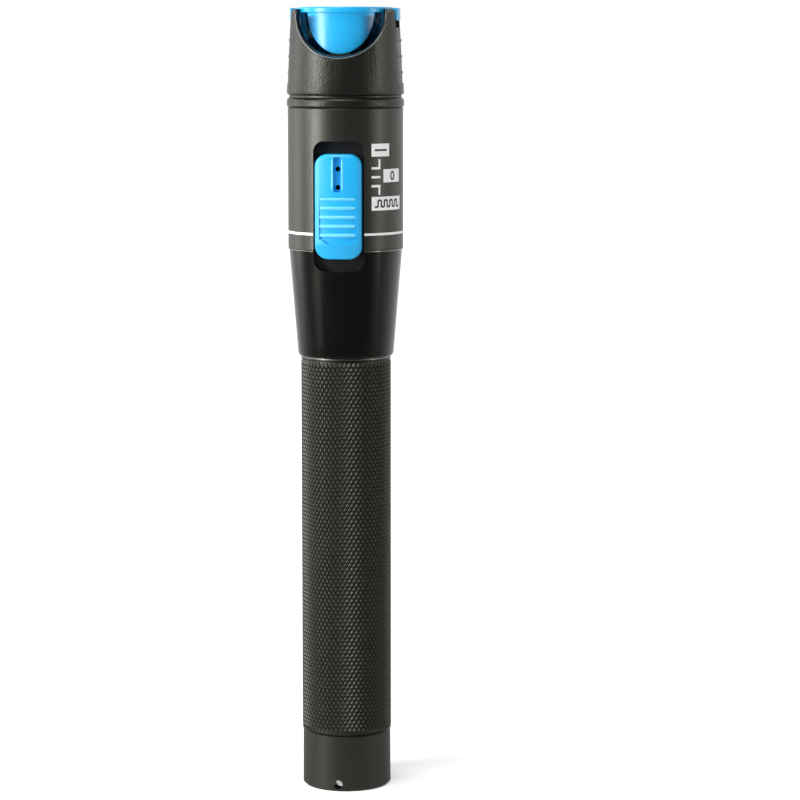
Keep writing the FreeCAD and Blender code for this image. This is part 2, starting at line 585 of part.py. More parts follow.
def positive_contact():
    """The disc that the upper cell's tip presses on, with a tab up to the board."""
    body = turned("positive_contact", [
        ("0", CHASSIS_LOW), ("contact_rad", CHASSIS_LOW),
        ("contact_rad", f"{CHASSIS_LOW} + contact_thick"),
        ("0", f"{CHASSIS_LOW} + contact_thick")])
    tab = rectangle(sketch_on(body, "XZ_Plane", "board_front"), "-tab_half", "tab_half",
                    f"{CHASSIS_LOW} + contact_thick / 2", f"{CHASSIS_LOW} + tab_len")
    pad(body, tab, "contact_thick")
    return body


def ground_clip():
    """A bent strip that joins the board's back to the metal cone."""
    low = f"({BOARD_LOW} + clip_rise)"
    wall = f"({CHASSIS_RAD} - fit_gap)"
    outline = [(f"-{BOARD_BACK}", low), (wall, low), (wall, f"{low} + clip_tab / 2"),
               (f"{wall} - clip_thick", f"{low} + clip_tab / 2"),
               (f"{wall} - clip_thick", f"{low} + clip_thick"),
               (f"clip_thick - {BOARD_BACK}", f"{low} + clip_thick"),
               (f"clip_thick - {BOARD_BACK}", f"{low} + clip_tab"),
               (f"-{BOARD_BACK}", f"{low} + clip_tab")]
    body = new_body("ground_clip")
    pad(body, polygon(sketch_on(body, "YZ_Plane"), outline), "2 * clip_half", Midplane=True)
    return body


def circuit_board():
    body = new_body("circuit_board")
    outline = rounded(sketch_on(body, "XZ_Plane", "board_front"), "board_half", BOARD_LOW,
                      BOARD_TOP, "board_corner")
    pad(body, outline, "board_thick", Reversed=True)
    for across, up in screw_spots():
        hole = circle(sketch_on(body, "XZ_Plane", FAR), across, up, "pcb_screw_rad + hole_gap")
        pocket(body, hole, f"2 * {FAR}")
    return body


def board_screw(name, across, up):
    """A pan head screw that holds the board to its boss, driven from behind."""
    screw = turned(name, [
        ("0", "-pcb_head_thick"), ("pcb_head_rad", "-pcb_head_thick"), ("pcb_head_rad", "0"),
        ("pcb_screw_rad", "0"), ("pcb_screw_rad", "board_thick + pcb_screw_len - fit_gap"),
        ("0", "board_thick + pcb_screw_len - fit_gap")])
    return place(screw, across, f"-{BOARD_BACK}", up, axis=(1, 0, 0), angle=90)


def driver_chip():
    chip = doc.addObject("Part::Box", "driver_chip")
    chip.setExpression("Length", bind("chip_wide"))
    chip.setExpression("Width", bind("chip_thick"))
    chip.setExpression("Height", bind("chip_long"))
    return place(chip, "-chip_wide / 2", f"-{BOARD_BACK}", f"{BOARD_LOW} + chip_high")


def small_board_parts():
    """The resistors and capacitors in a row beside the driver chip."""
    members = []
    for step in range(4):
        block = doc.addObject("Part::Box", f"small_part_{step + 1}")
        block.setExpression("Length", bind("small_part"))
        block.setExpression("Width", bind("small_thick"))
        block.setExpression("Height", bind("small_part / 2"))
        up = f"{BOARD_LOW} + chip_high - small_pitch + {step % 2} * small_pitch / 2"
        members.append(place(block, f"({step} - 2) * small_pitch + small_part / 2",
                             f"-{BOARD_BACK}", up))
    return group("board_components", members)


def switch_case():
    """The slide switch's box, soldered on the board, open towards the deck."""
    body = new_body("switch_case")
    low, high = f"({SLOT_MID} - case_len / 2)", f"({SLOT_MID} + case_len / 2)"
    pad(body, rectangle(sketch_on(body, "XZ_Plane", "board_front"), "-case_half", "case_half",
                        low, high), "case_deep")
    inside = rectangle(sketch_on(body, "XZ_Plane", "board_front"), "case_wall - case_half",
                       "case_half - case_wall", f"{low} + case_wall", f"{high} - case_wall")
    pocket(body, inside, "case_deep - case_top", Reversed=True)
    window = rectangle(sketch_on(body, "XZ_Plane", "board_front"), "-lever_half - window_gap / 2",
                       "lever_half + window_gap / 2",
                       f"{SLOT_MID} - lever_len / 2 - switch_travel - window_gap",
                       f"{SLOT_MID} + lever_len / 2 + switch_travel + window_gap")
    pocket(body, window, "2 * case_deep", Reversed=True)
    return body


def switch_lever():
    body = new_body("switch_lever")
    carrier = rectangle(sketch_on(body, "XZ_Plane", "board_front + carrier_gap"),
                        "-carrier_half", "carrier_half", f"{SLOT_MID} - carrier_len / 2",
                        f"{SLOT_MID} + carrier_len / 2")
    pad(body, carrier, "carrier_deep")
    handle = rectangle(sketch_on(body, "XZ_Plane", "board_front + carrier_gap"), "-lever_half",
                       "lever_half", f"{SLOT_MID} - lever_len / 2",
                       f"{SLOT_MID} + lever_len / 2")
    pad(body, handle, f"{LEVER_END} - board_front - carrier_gap")
    return body


def indicator_led():
    """The lamp behind the deck; one of the slider's two holes stands over it when on."""
    body = turned("indicator_led", [
        ("0", "led_stand"), ("led_flange", "led_stand"),
        ("led_flange", "led_stand + led_flange_thick"),
        ("led_rad", "led_stand + led_flange_thick"), ("led_rad", LED_TIP), ("0", LED_TIP)])
    round_edges(body, "led_dome", at_height("led_rad", LED_TIP))
    for side in ("-led_lead_side", "led_lead_side"):
        pad(body, circle(sketch_on(body, "XY_Plane"), side, "0", "led_lead"),
            "led_stand + led_flange_thick / 2")
    return place(body, back="-board_front", up=f"{SLOT_MID} + led_up", axis=(1, 0, 0), angle=90)


# ---------------------------------------------------------------- thumb slider

def thumb_dish():
    """What the thumb dish takes out of the slider: a wedge that ends in an arc."""
    body = new_body("thumb_dish")
    high, low = f"({SLOT_MID} + dish_high)", f"({SLOT_MID} - dish_low)"
    wedge = polygon(sketch_on(body, "XZ_Plane"), [
        (SLIDER_CROWN, high), (f"{SLIDER_CROWN} - dish_depth", low),
        (f"{SLIDER_CROWN} + dish_depth", low), (f"{SLIDER_CROWN} + dish_depth", high)])
    revolve(body, wedge, "dish_angle", Midplane=True)
    keep = sketch_on(body, "YZ_Plane", FAR)
    reach = "(slider_half + slider_corner)"
    middle = f"({low} + smile_rad)"
    centre = FreeCAD.Vector(0, number(middle))
    across = math.sqrt(number("smile_rad") ** 2 - (number("smile_rad") - number("smile_rise")) ** 2)
    angle = math.atan2(number("smile_rise") - number("smile_rad"), across)
    arc = Part.Circle(centre, FreeCAD.Vector(0, 0, 1), number("smile_rad"))
    keep.addGeometry(Part.ArcOfCircle(arc, math.pi - angle, 2 * math.pi + angle))
    up, base = number(low) + number("smile_rise"), number(low) - number("smile_rise")
    wide = number(reach)
    corners = [(across, up), (wide, up), (wide, base), (-wide, base), (-wide, up), (-across, up)]
    for start, end in zip(corners, corners[1:]):
        keep.addGeometry(Part.LineSegment(FreeCAD.Vector(*start), FreeCAD.Vector(*end)))
    for joint in ((0, 2, 1, 1), (1, 2, 2, 1), (2, 2, 3, 1), (3, 2, 4, 1), (4, 2, 5, 1), (5, 2, 0, 1)):
        keep.addConstraint(Sketcher.Constraint("Coincident", *joint))
    for line, kind in zip(range(1, 6), ("Horizontal", "Vertical", "Horizontal", "Vertical",
                                        "Horizontal")):
        keep.addConstraint(Sketcher.Constraint(kind, line))
    constrain(keep, "Radius", 0, value="smile_rad")
    constrain(keep, "DistanceX", 0, 3, value="0")
    constrain(keep, "DistanceY", 0, 3, value=middle)
    constrain(keep, "DistanceY", 1, 1, value=f"{low} + smile_rise")
    constrain(keep, "DistanceY", 5, 1, value=f"{low} + smile_rise")
    constrain(keep, "DistanceX", 2, 2, value=reach)
    constrain(keep, "DistanceX", 4, 2, value=f"-{reach}")
    constrain(keep, "DistanceY", 3, 2, value=f"{low} - smile_rise")
    pocket(body, keep, f"2 * {FAR}")
    return place(body, axis=(0, 0, 1), angle=-90)


def thumb_slider():
    body = new_body("thumb_slider")
    low, high = f"({SLOT_MID} - slider_len / 2)", f"({SLOT_MID} + slider_len / 2)"
    block = rounded(sketch_on(body, "XZ_Plane", SLIDER_FLOOR), "slider_half", low, high,
                    "slider_corner")
    pad(body, block, f"{SLIDER_CROWN} + slider_corner - {SLIDER_FLOOR}")
    outside = f"({SLIDER_CROWN} + 2 * slider_corner)"
    crown = polygon(sketch_on(body, "XZ_Plane"), [
        (f"{SLIDER_CROWN} - slope_drop", f"{low} - slope_len"), (outside, f"{low} - slope_len"),
        (outside, f"{high} + slope_len"), (f"{SLIDER_CROWN} - top_slope_drop", f"{high} + slope_len"),
        (f"{SLIDER_CROWN} - top_slope_drop", high), (SLIDER_CROWN, f"{high} - top_slope_len"),
        (SLIDER_CROWN, f"{low} + slope_len"), (f"{SLIDER_CROWN} - slope_drop", low)])
    groove(body, crown)
    soften_crown(body)
    hollow = rounded(sketch_on(body, "XZ_Plane", SLIDER_FLOOR), "slider_half - slider_wall",
                     f"{low} + slider_wall", f"{high} - slider_wall",
                     "slider_corner - slider_wall")
    pocket(body, hollow, "slider_hollow", Reversed=True)
    stud = rectangle(sketch_on(body, "XZ_Plane", SLIDER_FLOOR), "-stud_half", "stud_half",
                     f"{SLOT_MID} - stud_len / 2", f"{SLOT_MID} + stud_len / 2")
    pad(body, stud, "slider_hollow + slider_gap")
    socket = rectangle(sketch_on(body, "XZ_Plane", SLIDER_FLOOR), "-lever_half - socket_gap",
                       "lever_half + socket_gap", f"{SLOT_MID} - lever_len / 2 - socket_gap",
                       f"{SLOT_MID} + lever_len / 2 + socket_gap")
    pocket(body, socket, "socket_deep", Reversed=True)
    track = rounded(sketch_on(body, "XZ_Plane", FAR), "track_half", f"{SLOT_MID} + track_up",
                    f"{SLOT_MID} + track_up + track_len", "track_corner")
    pocket(body, track, f"{FAR} - {TRACK_FLOOR}")
    for side in ("-", "+"):
        hole = circle(sketch_on(body, "XZ_Plane", FAR), "0",
                      f"{SLOT_MID} + led_up {side} switch_travel", "led_hole_rad")
        pocket(body, hole, f"{FAR} - {SLIDER_FLOOR}")
    dish = body.newObject("PartDesign::Boolean", "thumb_slider_dish")
    dish.setObjects([thumb_dish()])
    dish.Type = "Cut"
    body.Tip = dish
    doc.recompute()
    add_ribs(body)
    return body


def soften_crown(body):
    """Ease the slider's slopes into its crown, then round the crown's whole rim."""
    lowest = f"{SLIDER_CROWN} - 1.05 * slope_drop"
    round_edges(body, "slope_round", beyond(lowest, "2 * slider_half - slider_corner"))
    round_edges(body, "slider_edge", beyond(lowest))


def add_ribs(body):
    """Round-topped grip ribs across the dish, one above another."""
    sketch = sketch_on(body, "YZ_Plane")
    bottom = f"({SLOT_MID} - rib_low)"
    root = f"({SLIDER_CROWN} - 2 * dish_depth)"
    top = f"({SLIDER_CROWN} + rib_proud - rib_wide / 2)"
    half, base, inner, outer = number("rib_wide / 2"), number(bottom), number(root), number(top)
    corners = [(-outer, base - half), (-inner, base - half), (-inner, base + half),
               (-outer, base + half)]
    for start, end in zip(corners, corners[1:]):
        sketch.addGeometry(Part.LineSegment(FreeCAD.Vector(*start), FreeCAD.Vector(*end)))
    tip = Part.Circle(FreeCAD.Vector(-outer, base), FreeCAD.Vector(0, 0, 1), half)
    sketch.addGeometry(Part.ArcOfCircle(tip, math.pi / 2, 3 * math.pi / 2))
    for joint in ((0, 2, 1, 1), (1, 2, 2, 1)):
        sketch.addConstraint(Sketcher.Constraint("Coincident", *joint))
    for joint in ((2, 2, 3, 1), (3, 2, 0, 1)):
        sketch.addConstraint(Sketcher.Constraint("Tangent", *joint))
    sketch.addConstraint(Sketcher.Constraint("Vertical", 1))
    constrain(sketch, "DistanceX", 1, 1, value=f"-{root}")
    constrain(sketch, "DistanceX", 3, 3, value=f"-{top}")
    constrain(sketch, "DistanceY", 3, 3, value=bottom)
    constrain(sketch, "Radius", 3, value="rib_wide / 2")
    rib = revolve(body, sketch, "rib_angle", Midplane=True)
    ribs = body.newObject("PartDesign::LinearPattern", "thumb_slider_ribs")
    ribs.Originals = [rib]
    ribs.Direction = (origin_part(body, "Z_Axis"), [""])
    ribs.setExpression("Length", bind("rib_pitch * (rib_count - 1)"))
    ribs.setExpression("Occurrences", bind("rib_count"))
    body.Tip = ribs
    doc.recompute()


# ---------------------------------------------------------------- laser module and port

def laser_holder():
    """The brass barrel that lines up the diode, the lens and the fibre."""
    lens_top = f"({HOLDER_TOP} - exit_len)"
    lens_low = f"({lens_top} - lens_bay)"
    return turned("laser_holder", [
        ("diode_rad + fit_gap", HOLDER_LOW), ("holder_rad", HOLDER_LOW),
        ("holder_rad", HEAD_LOW), (NOSE_RAD, HEAD_LOW), (NOSE_RAD, HOLDER_TOP),
        ("exit_rad", HOLDER_TOP), ("exit_rad", lens_top), ("lens_rad + fit_gap", lens_top),
        ("lens_rad + fit_gap", lens_low), ("can_bay_rad", lens_low),
        ("can_bay_rad", DIODE_SEAT), ("diode_rad + fit_gap", DIODE_SEAT)])


def laser_diode():
    """A metal can diode on its round base, with three leads down to the board."""
    base = f"({DIODE_SEAT} - diode_thick)"
    body = turned("laser_diode", [
        ("0", base), ("diode_rad", base), ("diode_rad", DIODE_SEAT), ("can_rad", DIODE_SEAT),
        ("can_rad", f"{DIODE_SEAT} + can_len"), ("0", f"{DIODE_SEAT} + can_len")])
    for across, front in (("-pin_circle", "0"), ("pin_circle", "0"), ("0", "-pin_circle")):
        pad(body, circle(sketch_on(body, "XY_Plane", f"{base} + diode_thick / 2"), across, front,
                         "pin_rad"), f"{base} + diode_thick / 2 - {BOARD_TOP} + pin_overlap",
            Reversed=True)
    return body


def focusing_lens():
    top = f"({HOLDER_TOP} - exit_len)"
    return turned("focusing_lens", [
        ("0", f"{top} - lens_len"), ("lens_rad", f"{top} - lens_len"), ("lens_rad", top),
        ("0", top)])


def port_body():
    """The plated connector port: flange under the floor, thread, and nose in the cup."""
    socket = f"({NOSE_RAD} + fit_gap)"
    bore = "(sleeve_rad + sleeve_gap)"
    thread_top = f"({CUP_FLOOR} + port_thread_len)"
    return turned("port_body", [
        (socket, HEAD_LOW), ("flange_rad", HEAD_LOW), ("flange_rad", FLOOR_UNDER),
        ("port_thread_rad", FLOOR_UNDER), ("port_thread_rad", thread_top),
        ("port_nose_rad", thread_top), ("port_nose_rad", f"{PORT_TOP} - port_edge"),
        ("port_nose_rad - port_edge", PORT_TOP), (bore, PORT_TOP), (bore, HOLDER_TOP),
        (socket, HOLDER_TOP)])


def ferrule_stop():
    """The bush that stops the ferrule above the lens and lets the light through."""
    return turned("ferrule_stop", [
        ("light_rad", HOLDER_TOP), ("sleeve_rad", HOLDER_TOP), ("sleeve_rad", SLEEVE_LOW),
        ("light_rad", SLEEVE_LOW)])


def alignment_sleeve():
    """The ceramic sleeve that takes a 2.5 mm ferrule."""
    return turned("alignment_sleeve", [
        ("ferrule_rad", SLEEVE_LOW), ("sleeve_rad", SLEEVE_LOW), ("sleeve_rad", PORT_TOP),
        ("ferrule_rad + sleeve_edge", PORT_TOP), ("ferrule_rad", f"{PORT_TOP} - sleeve_edge")])


def port_nut():
    body = new_body("port_nut")
    half, corner = "nut_flats / 2", "nut_flats / sqrt(3)"
    sketch = polygon(sketch_on(body, "XY_Plane", CUP_FLOOR), [
        (corner, "0"), (f"{corner} / 2", half), (f"-{corner} / 2", half), (f"-{corner}", "0"),
        (f"-{corner} / 2", f"-{half}"), (f"{corner} / 2", f"-{half}")])
    circle(sketch, "0", "0", "port_thread_rad + sleeve_gap")
    pad(body, sketch, "nut_thick")
    return body


# ---------------------------------------------------------------- neck, head and lid

def neck_ring():
    web_bore = "(holder_rad + 2 * fit_gap)"
    ring_top = f"({NECK_LOW} + ring_len)"
    body = turned("neck_ring", [
        (SKIRT_RAD, CHASSIS_TOP), (CHASSIS_RAD, CHASSIS_TOP), (CHASSIS_RAD, NECK_LOW),
        (f"{RING_RAD} - ring_low_edge", NECK_LOW), (RING_RAD, f"{NECK_LOW} + ring_low_edge"),
        (RING_RAD, f"{ring_top} - ring_top_edge"), (f"{RING_RAD} - ring_top_edge", ring_top),
        (GROOVE_RAD, ring_top), (GROOVE_RAD, HEAD_LOW), (PLUG_RAD, HEAD_LOW),
        (PLUG_RAD, f"{HEAD_LOW} + plug_len"), (PLUG_BORE, f"{HEAD_LOW} + plug_len"),
        (PLUG_BORE, HEAD_LOW), (web_bore, HEAD_LOW), (web_bore, NECK_LOW),
        (SKIRT_RAD, NECK_LOW)])
    for side in ("", "-"):
        hole = circle(sketch_on(body, "XY_Plane", HEAD_LOW), f"{side}{SCREW_OFFSET}",
                      f"{side}{SCREW_OFFSET}", "head_screw_rad + 2 * fit_gap")
        pocket(body, hole, "2 * (ring_len + groove_len)", Midplane=True)
    return body


def head_screw(name, side):
    """A screw from below that pulls the head cover down onto the neck ring."""
    screw = turned(name, [
        ("0", f"{NECK_LOW} - screw_head_thick"), ("screw_head_rad", f"{NECK_LOW} - screw_head_thick"),
        ("screw_head_rad", NECK_LOW), ("head_screw_rad", NECK_LOW),
        ("head_screw_rad", f"{NECK_LOW} + head_screw_len"), ("0", f"{NECK_LOW} + head_screw_len")])
    return place(screw, f"{side}{SCREW_OFFSET}", f"{side}{SCREW_OFFSET}")


def head_radius(height):
    """The tapered head's outer radius at a height above its foot."""
    return f"({RING_RAD} - ({height}) * head_taper / head_len)"


def head_cover():
    """The moulded head: tapered cup, bevelled front notch, side grips and hinge lugs."""
    socket = f"({PLUG_RAD} + fit_gap)"
    body = turned("head_cover", [
        (socket, HEAD_LOW), (f"{RING_RAD} - head_low_edge", HEAD_LOW),
        (RING_RAD, f"{HEAD_LOW} + head_low_edge"), (HEAD_TOP_RAD, f"{HEAD_TOP} - head_edge"),
        (f"{HEAD_TOP_RAD} - head_edge", HEAD_TOP), (CUP_RAD, HEAD_TOP), (CUP_RAD, CUP_FLOOR),
        ("port_thread_rad + fit_gap", CUP_FLOOR), ("port_thread_rad + fit_gap", FLOOR_UNDER),
        (socket, FLOOR_UNDER)])
    cut_front_notch(body)
    cut_side_grips(body)
    add_hinge_lugs(body)
    for side in ("", "-"):
        spot = (f"{side}{SCREW_OFFSET}", f"{side}{SCREW_OFFSET}")
        boss = circle(sketch_on(body, "XY_Plane", f"{CUP_FLOOR} - floor_thick / 2"), *spot,
                      "screw_boss_rad")
        circle(boss, *spot, "head_screw_rad")
        pad(body, boss, f"{CUP_FLOOR} - floor_thick / 2 - {HEAD_LOW} - head_low_edge",
            Reversed=True)
    return body


def cut_front_notch(body):
    """The wide U through which the thumb lifts the lid, bevelled from outside to inside."""
    outer = ellipse(sketch_on(body, "XZ_Plane", NOTCH_OUT), NOTCH_MID, NOTCH_OUT_HALF,
                    "notch_tall")
    inner = ellipse(sketch_on(body, "XZ_Plane", NOTCH_IN), NOTCH_MID, NOTCH_IN_HALF,
                    "notch_in_tall")
    before = body.Shape.Volume
    notch = body.newObject("PartDesign::SubtractiveLoft", "head_cover_notch")
    notch.Profile = outer
    notch.Sections = [inner]
    notch.Ruled = True
    doc.recompute()
    if notch.Shape.Volume >= before:
        raise RuntimeError("the front notch removes nothing")


def cut_side_grips(body):
    """On both sides a slot for the lid's ear, and under it a ribbed finger grip."""
    ear = rectangle(sketch_on(body, "XZ_Plane"), f"{CUP_RAD} - lid_wall",
                    f"{RING_RAD} + lid_wall", f"{HEAD_TOP} - ear_slot_deep", f"{HEAD_TOP} + lid_wall")
    repeat_opposite(body, groove(body, ear, "ear_slot_angle", Midplane=True))
    grips = sketch_on(body, "XZ_Plane")
    low = "grip_low"
    for rise in ("grip_first", "grip_next", "grip_next", "grip_next"):
        high = f"({low} + {rise})"
        polygon(grips, [
            (f"{head_radius(low)} - grip_deep", f"{HEAD_LOW} + {low}"),
            (f"{RING_RAD} + grip_deep", f"{HEAD_LOW} + {low}"),
            (f"{RING_RAD} + grip_deep", f"{HEAD_LOW} + {high}"),
            (f"{head_radius(high)} - grip_deep", f"{HEAD_LOW} + {high}")])
        low = f"({high} + grip_rib)"
    repeat_opposite(body, groove(body, grips, "grip_angle", Midplane=True))


def add_hinge_lugs(body):
    """Lower the rear wall, open it for the hinge, and stand the two lugs in the gap."""
    step = rectangle(sketch_on(body, "YZ_Plane"), "rear_start", FAR, f"{HEAD_TOP} - rear_drop",
                     f"{HEAD_TOP} + rear_drop")
    pocket(body, step, f"2 * {FAR}", Midplane=True)
    slot = rectangle(sketch_on(body, "YZ_Plane"), "rear_start", FAR,
                     f"{HEAD_TOP} - hinge_slot_deep", f"{HEAD_TOP} + rear_drop")
    pocket(body, slot, "2 * hinge_slot_half", Midplane=True)
    for start in ("lug_in", "-lug_in - lug_thick"):
        foot = rectangle(sketch_on(body, "YZ_Plane", start), f"{HINGE_BACK} - lug_rad",
                         f"{HINGE_BACK} + lug_rad", f"{HEAD_TOP} - lug_foot", HINGE_HIGH)
        pad(body, foot, "lug_thick")
        eye = circle(sketch_on(body, "YZ_Plane", start), HINGE_BACK, HINGE_HIGH, "lug_rad")
        pad(body, eye, "lug_thick")
    bore = circle(sketch_on(body, "YZ_Plane"), HINGE_BACK, HINGE_HIGH, "hinge_pin_rad")
    pocket(body, bore, "2 * (lug_in + 2 * lug_thick)", Midplane=True)


def lid_hinge_pin():
    pin = doc.addObject("Part::Cylinder", "lid_hinge_pin")
    pin.setExpression("Radius", bind("hinge_pin_rad"))
    pin.setExpression("Height", bind("2 * (lug_in + lug_thick)"))
    return place(pin, "-lug_in - lug_thick", HINGE_BACK, HINGE_HIGH, axis=(0, 1, 0), angle=90)


def dust_lid():
    """The flip lid: a flat top with a hollow plug, two ears, and a knuckle behind."""
    skirt_low = f"({HEAD_TOP} - lid_skirt_deep)"
    body = turned("dust_lid", [
        (f"{LID_SKIRT_LOW} - lid_wall", skirt_low), (LID_SKIRT_LOW, skirt_low),
        (LID_SKIRT_TOP, LID_UNDER), (LID_SKIRT_TOP, f"{LID_UNDER} + lid_edge"),
        (f"{LID_SKIRT_TOP} - lid_wall", f"{LID_UNDER} + lid_edge"),
        (f"{LID_SKIRT_TOP} - lid_wall", LID_UNDER)])
    rear = rectangle(sketch_on(body, "YZ_Plane"), LID_BACK, FAR, f"{skirt_low} - lid_edge",
                     LID_UNDER)
    pocket(body, rear, f"2 * {FAR}", Midplane=True)
    cut_front_tongue(body)
    revolve(body, polygon(sketch_on(body, "XZ_Plane"), [
        ("0", LID_UNDER), (LID_RAD, LID_UNDER), (LID_RAD, f"{LID_TOP} - lid_edge"),
        (f"{LID_RAD} - lid_edge", LID_TOP), ("0", LID_TOP)]))
    ear = rectangle(sketch_on(body, "XZ_Plane"), EAR_ROOT, HEAD_TOP_RAD,
                    f"{HEAD_TOP} - ear_deep", f"{HEAD_TOP} + ear_proud")
    repeat_opposite(body, revolve(body, ear, "ear_angle", Midplane=True))
    knuckle = circle(sketch_on(body, "YZ_Plane"), HINGE_BACK, HINGE_HIGH, "knuckle_rad")
    web = rectangle(sketch_on(body, "YZ_Plane"), f"{HINGE_BACK} - knuckle_rad",
                    f"{HINGE_BACK} + knuckle_rad / 3", HINGE_HIGH, f"{LID_UNDER} + lid_edge")
    pad(body, web, "2 * knuckle_half", Midplane=True)
    pad(body, knuckle, "2 * knuckle_half", Midplane=True)
    bore = circle(sketch_on(body, "YZ_Plane"), HINGE_BACK, HINGE_HIGH,
                  "hinge_pin_rad + hinge_pin_gap")
    pocket(body, bore, "4 * knuckle_half", Midplane=True)
    return body


def cut_front_tongue(body):
    """Trim the front of the plug to a U that fills the head's notch with a gap around it."""
    around = ellipse(sketch_on(body, "XZ_Plane", FAR), NOTCH_MID, TONGUE_HALF, TONGUE_HIGH,
                     upright=True)
    rectangle(around, f"-{FAR}", FAR, f"{HEAD_TOP} - {FAR}", f"{HEAD_TOP} + {FAR}")
    pocket(body, around, f"{FAR} - tongue_back")


def lid_seal_pad():
    """The soft pad under the lid that closes the fibre port."""
    low = f"({PORT_TOP} + pad_gap)"
    return turned("lid_seal_pad", [("0", low), ("pad_rad", low), ("pad_rad", LID_UNDER),
                                   ("0", LID_UNDER)])


# ---------------------------------------------------------------- assembly and files

def build():
    """Make every piece and return those that become files."""
    screws = [board_screw(f"board_screw_{step + 1}", *spot)
              for step, spot in enumerate(screw_spots())]
    head_screws = [head_screw("head_screw_1", ""), head_screw("head_screw_2", "-")]
    return [
        tail_cap(), tail_seal_ring(), spring_plate(), battery_spring(), grip_tube(),
        battery("battery_lower", CELL_LOW), battery("battery_upper", f"({CELL_LOW} + cell_len)"),
        cone_sleeve(), barrel_shell(), inner_chassis(), positive_contact(), ground_clip(),
        circuit_board(), group("board_screws", screws), driver_chip(), small_board_parts(),
        switch_case(), switch_lever(), indicator_led(), thumb_slider(), laser_holder(),
        laser_diode(), focusing_lens(), port_body(), ferrule_stop(), alignment_sleeve(),
        port_nut(), neck_ring(), group("head_screws", head_screws), head_cover(),
        lid_hinge_pin(), dust_lid(), lid_seal_pad()]


def check(pieces):
    for item in doc.Objects:
        if "Invalid" in item.State or "Error" in item.State:
            raise RuntimeError(f"{item.Name} is {item.State}")
    for piece in pieces:
        if piece.Shape.isNull() or not piece.Shape.isValid() or not piece.Shape.Solids:
            raise RuntimeError(f"{piece.Label} has no valid solid")


sheet = fill_sheet()
pieces = build()
doc.recompute()
check(pieces)
os.makedirs("parts", exist_ok=True)
for piece in pieces:
    piece.Shape.exportStep(f"parts/{piece.Label}.step")
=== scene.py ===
"""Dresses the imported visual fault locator: finishes, knurling, printing, stage and camera."""

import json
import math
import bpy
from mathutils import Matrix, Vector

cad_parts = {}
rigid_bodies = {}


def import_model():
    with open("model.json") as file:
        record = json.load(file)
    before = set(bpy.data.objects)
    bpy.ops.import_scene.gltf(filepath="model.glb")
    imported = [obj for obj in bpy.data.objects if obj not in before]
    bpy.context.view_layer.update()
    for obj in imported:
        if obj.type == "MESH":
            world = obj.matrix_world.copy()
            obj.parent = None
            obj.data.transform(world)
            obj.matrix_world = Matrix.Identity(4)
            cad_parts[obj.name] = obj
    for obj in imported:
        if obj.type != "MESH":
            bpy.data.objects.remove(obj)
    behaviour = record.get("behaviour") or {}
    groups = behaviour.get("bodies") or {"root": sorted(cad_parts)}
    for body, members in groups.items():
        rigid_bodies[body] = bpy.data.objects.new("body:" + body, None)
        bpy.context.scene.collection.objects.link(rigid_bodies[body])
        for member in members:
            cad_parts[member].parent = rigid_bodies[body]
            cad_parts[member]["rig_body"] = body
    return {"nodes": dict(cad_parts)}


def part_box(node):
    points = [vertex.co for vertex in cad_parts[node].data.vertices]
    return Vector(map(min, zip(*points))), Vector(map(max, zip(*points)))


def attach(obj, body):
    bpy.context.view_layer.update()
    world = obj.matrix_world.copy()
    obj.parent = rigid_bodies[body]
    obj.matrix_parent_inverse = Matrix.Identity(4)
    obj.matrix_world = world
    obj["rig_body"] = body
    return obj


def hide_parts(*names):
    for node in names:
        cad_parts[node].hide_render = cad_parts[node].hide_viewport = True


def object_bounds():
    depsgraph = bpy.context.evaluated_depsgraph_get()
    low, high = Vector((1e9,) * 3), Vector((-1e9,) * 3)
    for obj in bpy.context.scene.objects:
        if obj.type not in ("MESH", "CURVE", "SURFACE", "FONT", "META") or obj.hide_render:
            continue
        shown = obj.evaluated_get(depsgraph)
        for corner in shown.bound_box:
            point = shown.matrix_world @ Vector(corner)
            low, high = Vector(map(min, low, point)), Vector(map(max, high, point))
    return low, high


bl_info = {
    "name": "Visual fault locator",
    "version": (1, 0, 0),
    "blender": (4, 5, 0),
    "location": "View3D > Sidebar > Fault locator",
    "description": "Finishes the pen-sized fibre tester over its packed frame",
    "category": "Object",
}

import bmesh
import bpy
from mathutils import Euler, Vector
from mathutils.bvhtree import BVHTree

MM = 0.001
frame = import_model()
cad_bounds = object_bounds()

# Corners closer than this are one corner, and faces that turn less than this one face.
SAME_PLACE = 0.001 * MM
SAME_PLANE = math.radians(0.6)
# The black finishes mirror with a slight olive tint.
OLIVE = (1.0, 1.0, 0.9, 1.0)


# ---------------------------------------------------------------- settings

class LocatorSizes(bpy.types.PropertyGroup):
    knurl_starts: bpy.props.IntProperty(
        name="Knurl starts", description="Grooves of one hand around the grip", default=60, min=12)
    knurl_depth: bpy.props.FloatProperty(
        name="Knurl depth", description="From a diamond's top to the groove", default=0.24 * MM,
        unit="LENGTH", precision=5)
    knurl_row: bpy.props.FloatProperty(
        name="Knurl row", description="Height of one diamond along the grip", default=1.78 * MM,
        unit="LENGTH", precision=5)
    thread_pitch: bpy.props.FloatProperty(
        name="Thread pitch", description="Pitch of the thread under the tail cap",
        default=1.0 * MM, unit="LENGTH", precision=5)
    print_proud: bpy.props.FloatProperty(
        name="Print thickness", description="How far the printed ink stands off the barrel",
        default=0.02 * MM, unit="LENGTH", precision=5)
    stroke: bpy.props.FloatProperty(
        name="Printed stroke", description="Width of the printed lines", default=0.5 * MM,
        unit="LENGTH", precision=5)


def colour_property(name, value, description):
    return bpy.props.FloatVectorProperty(
        name=name, description=description, subtype="COLOR", size=3, min=0, max=1, default=value)


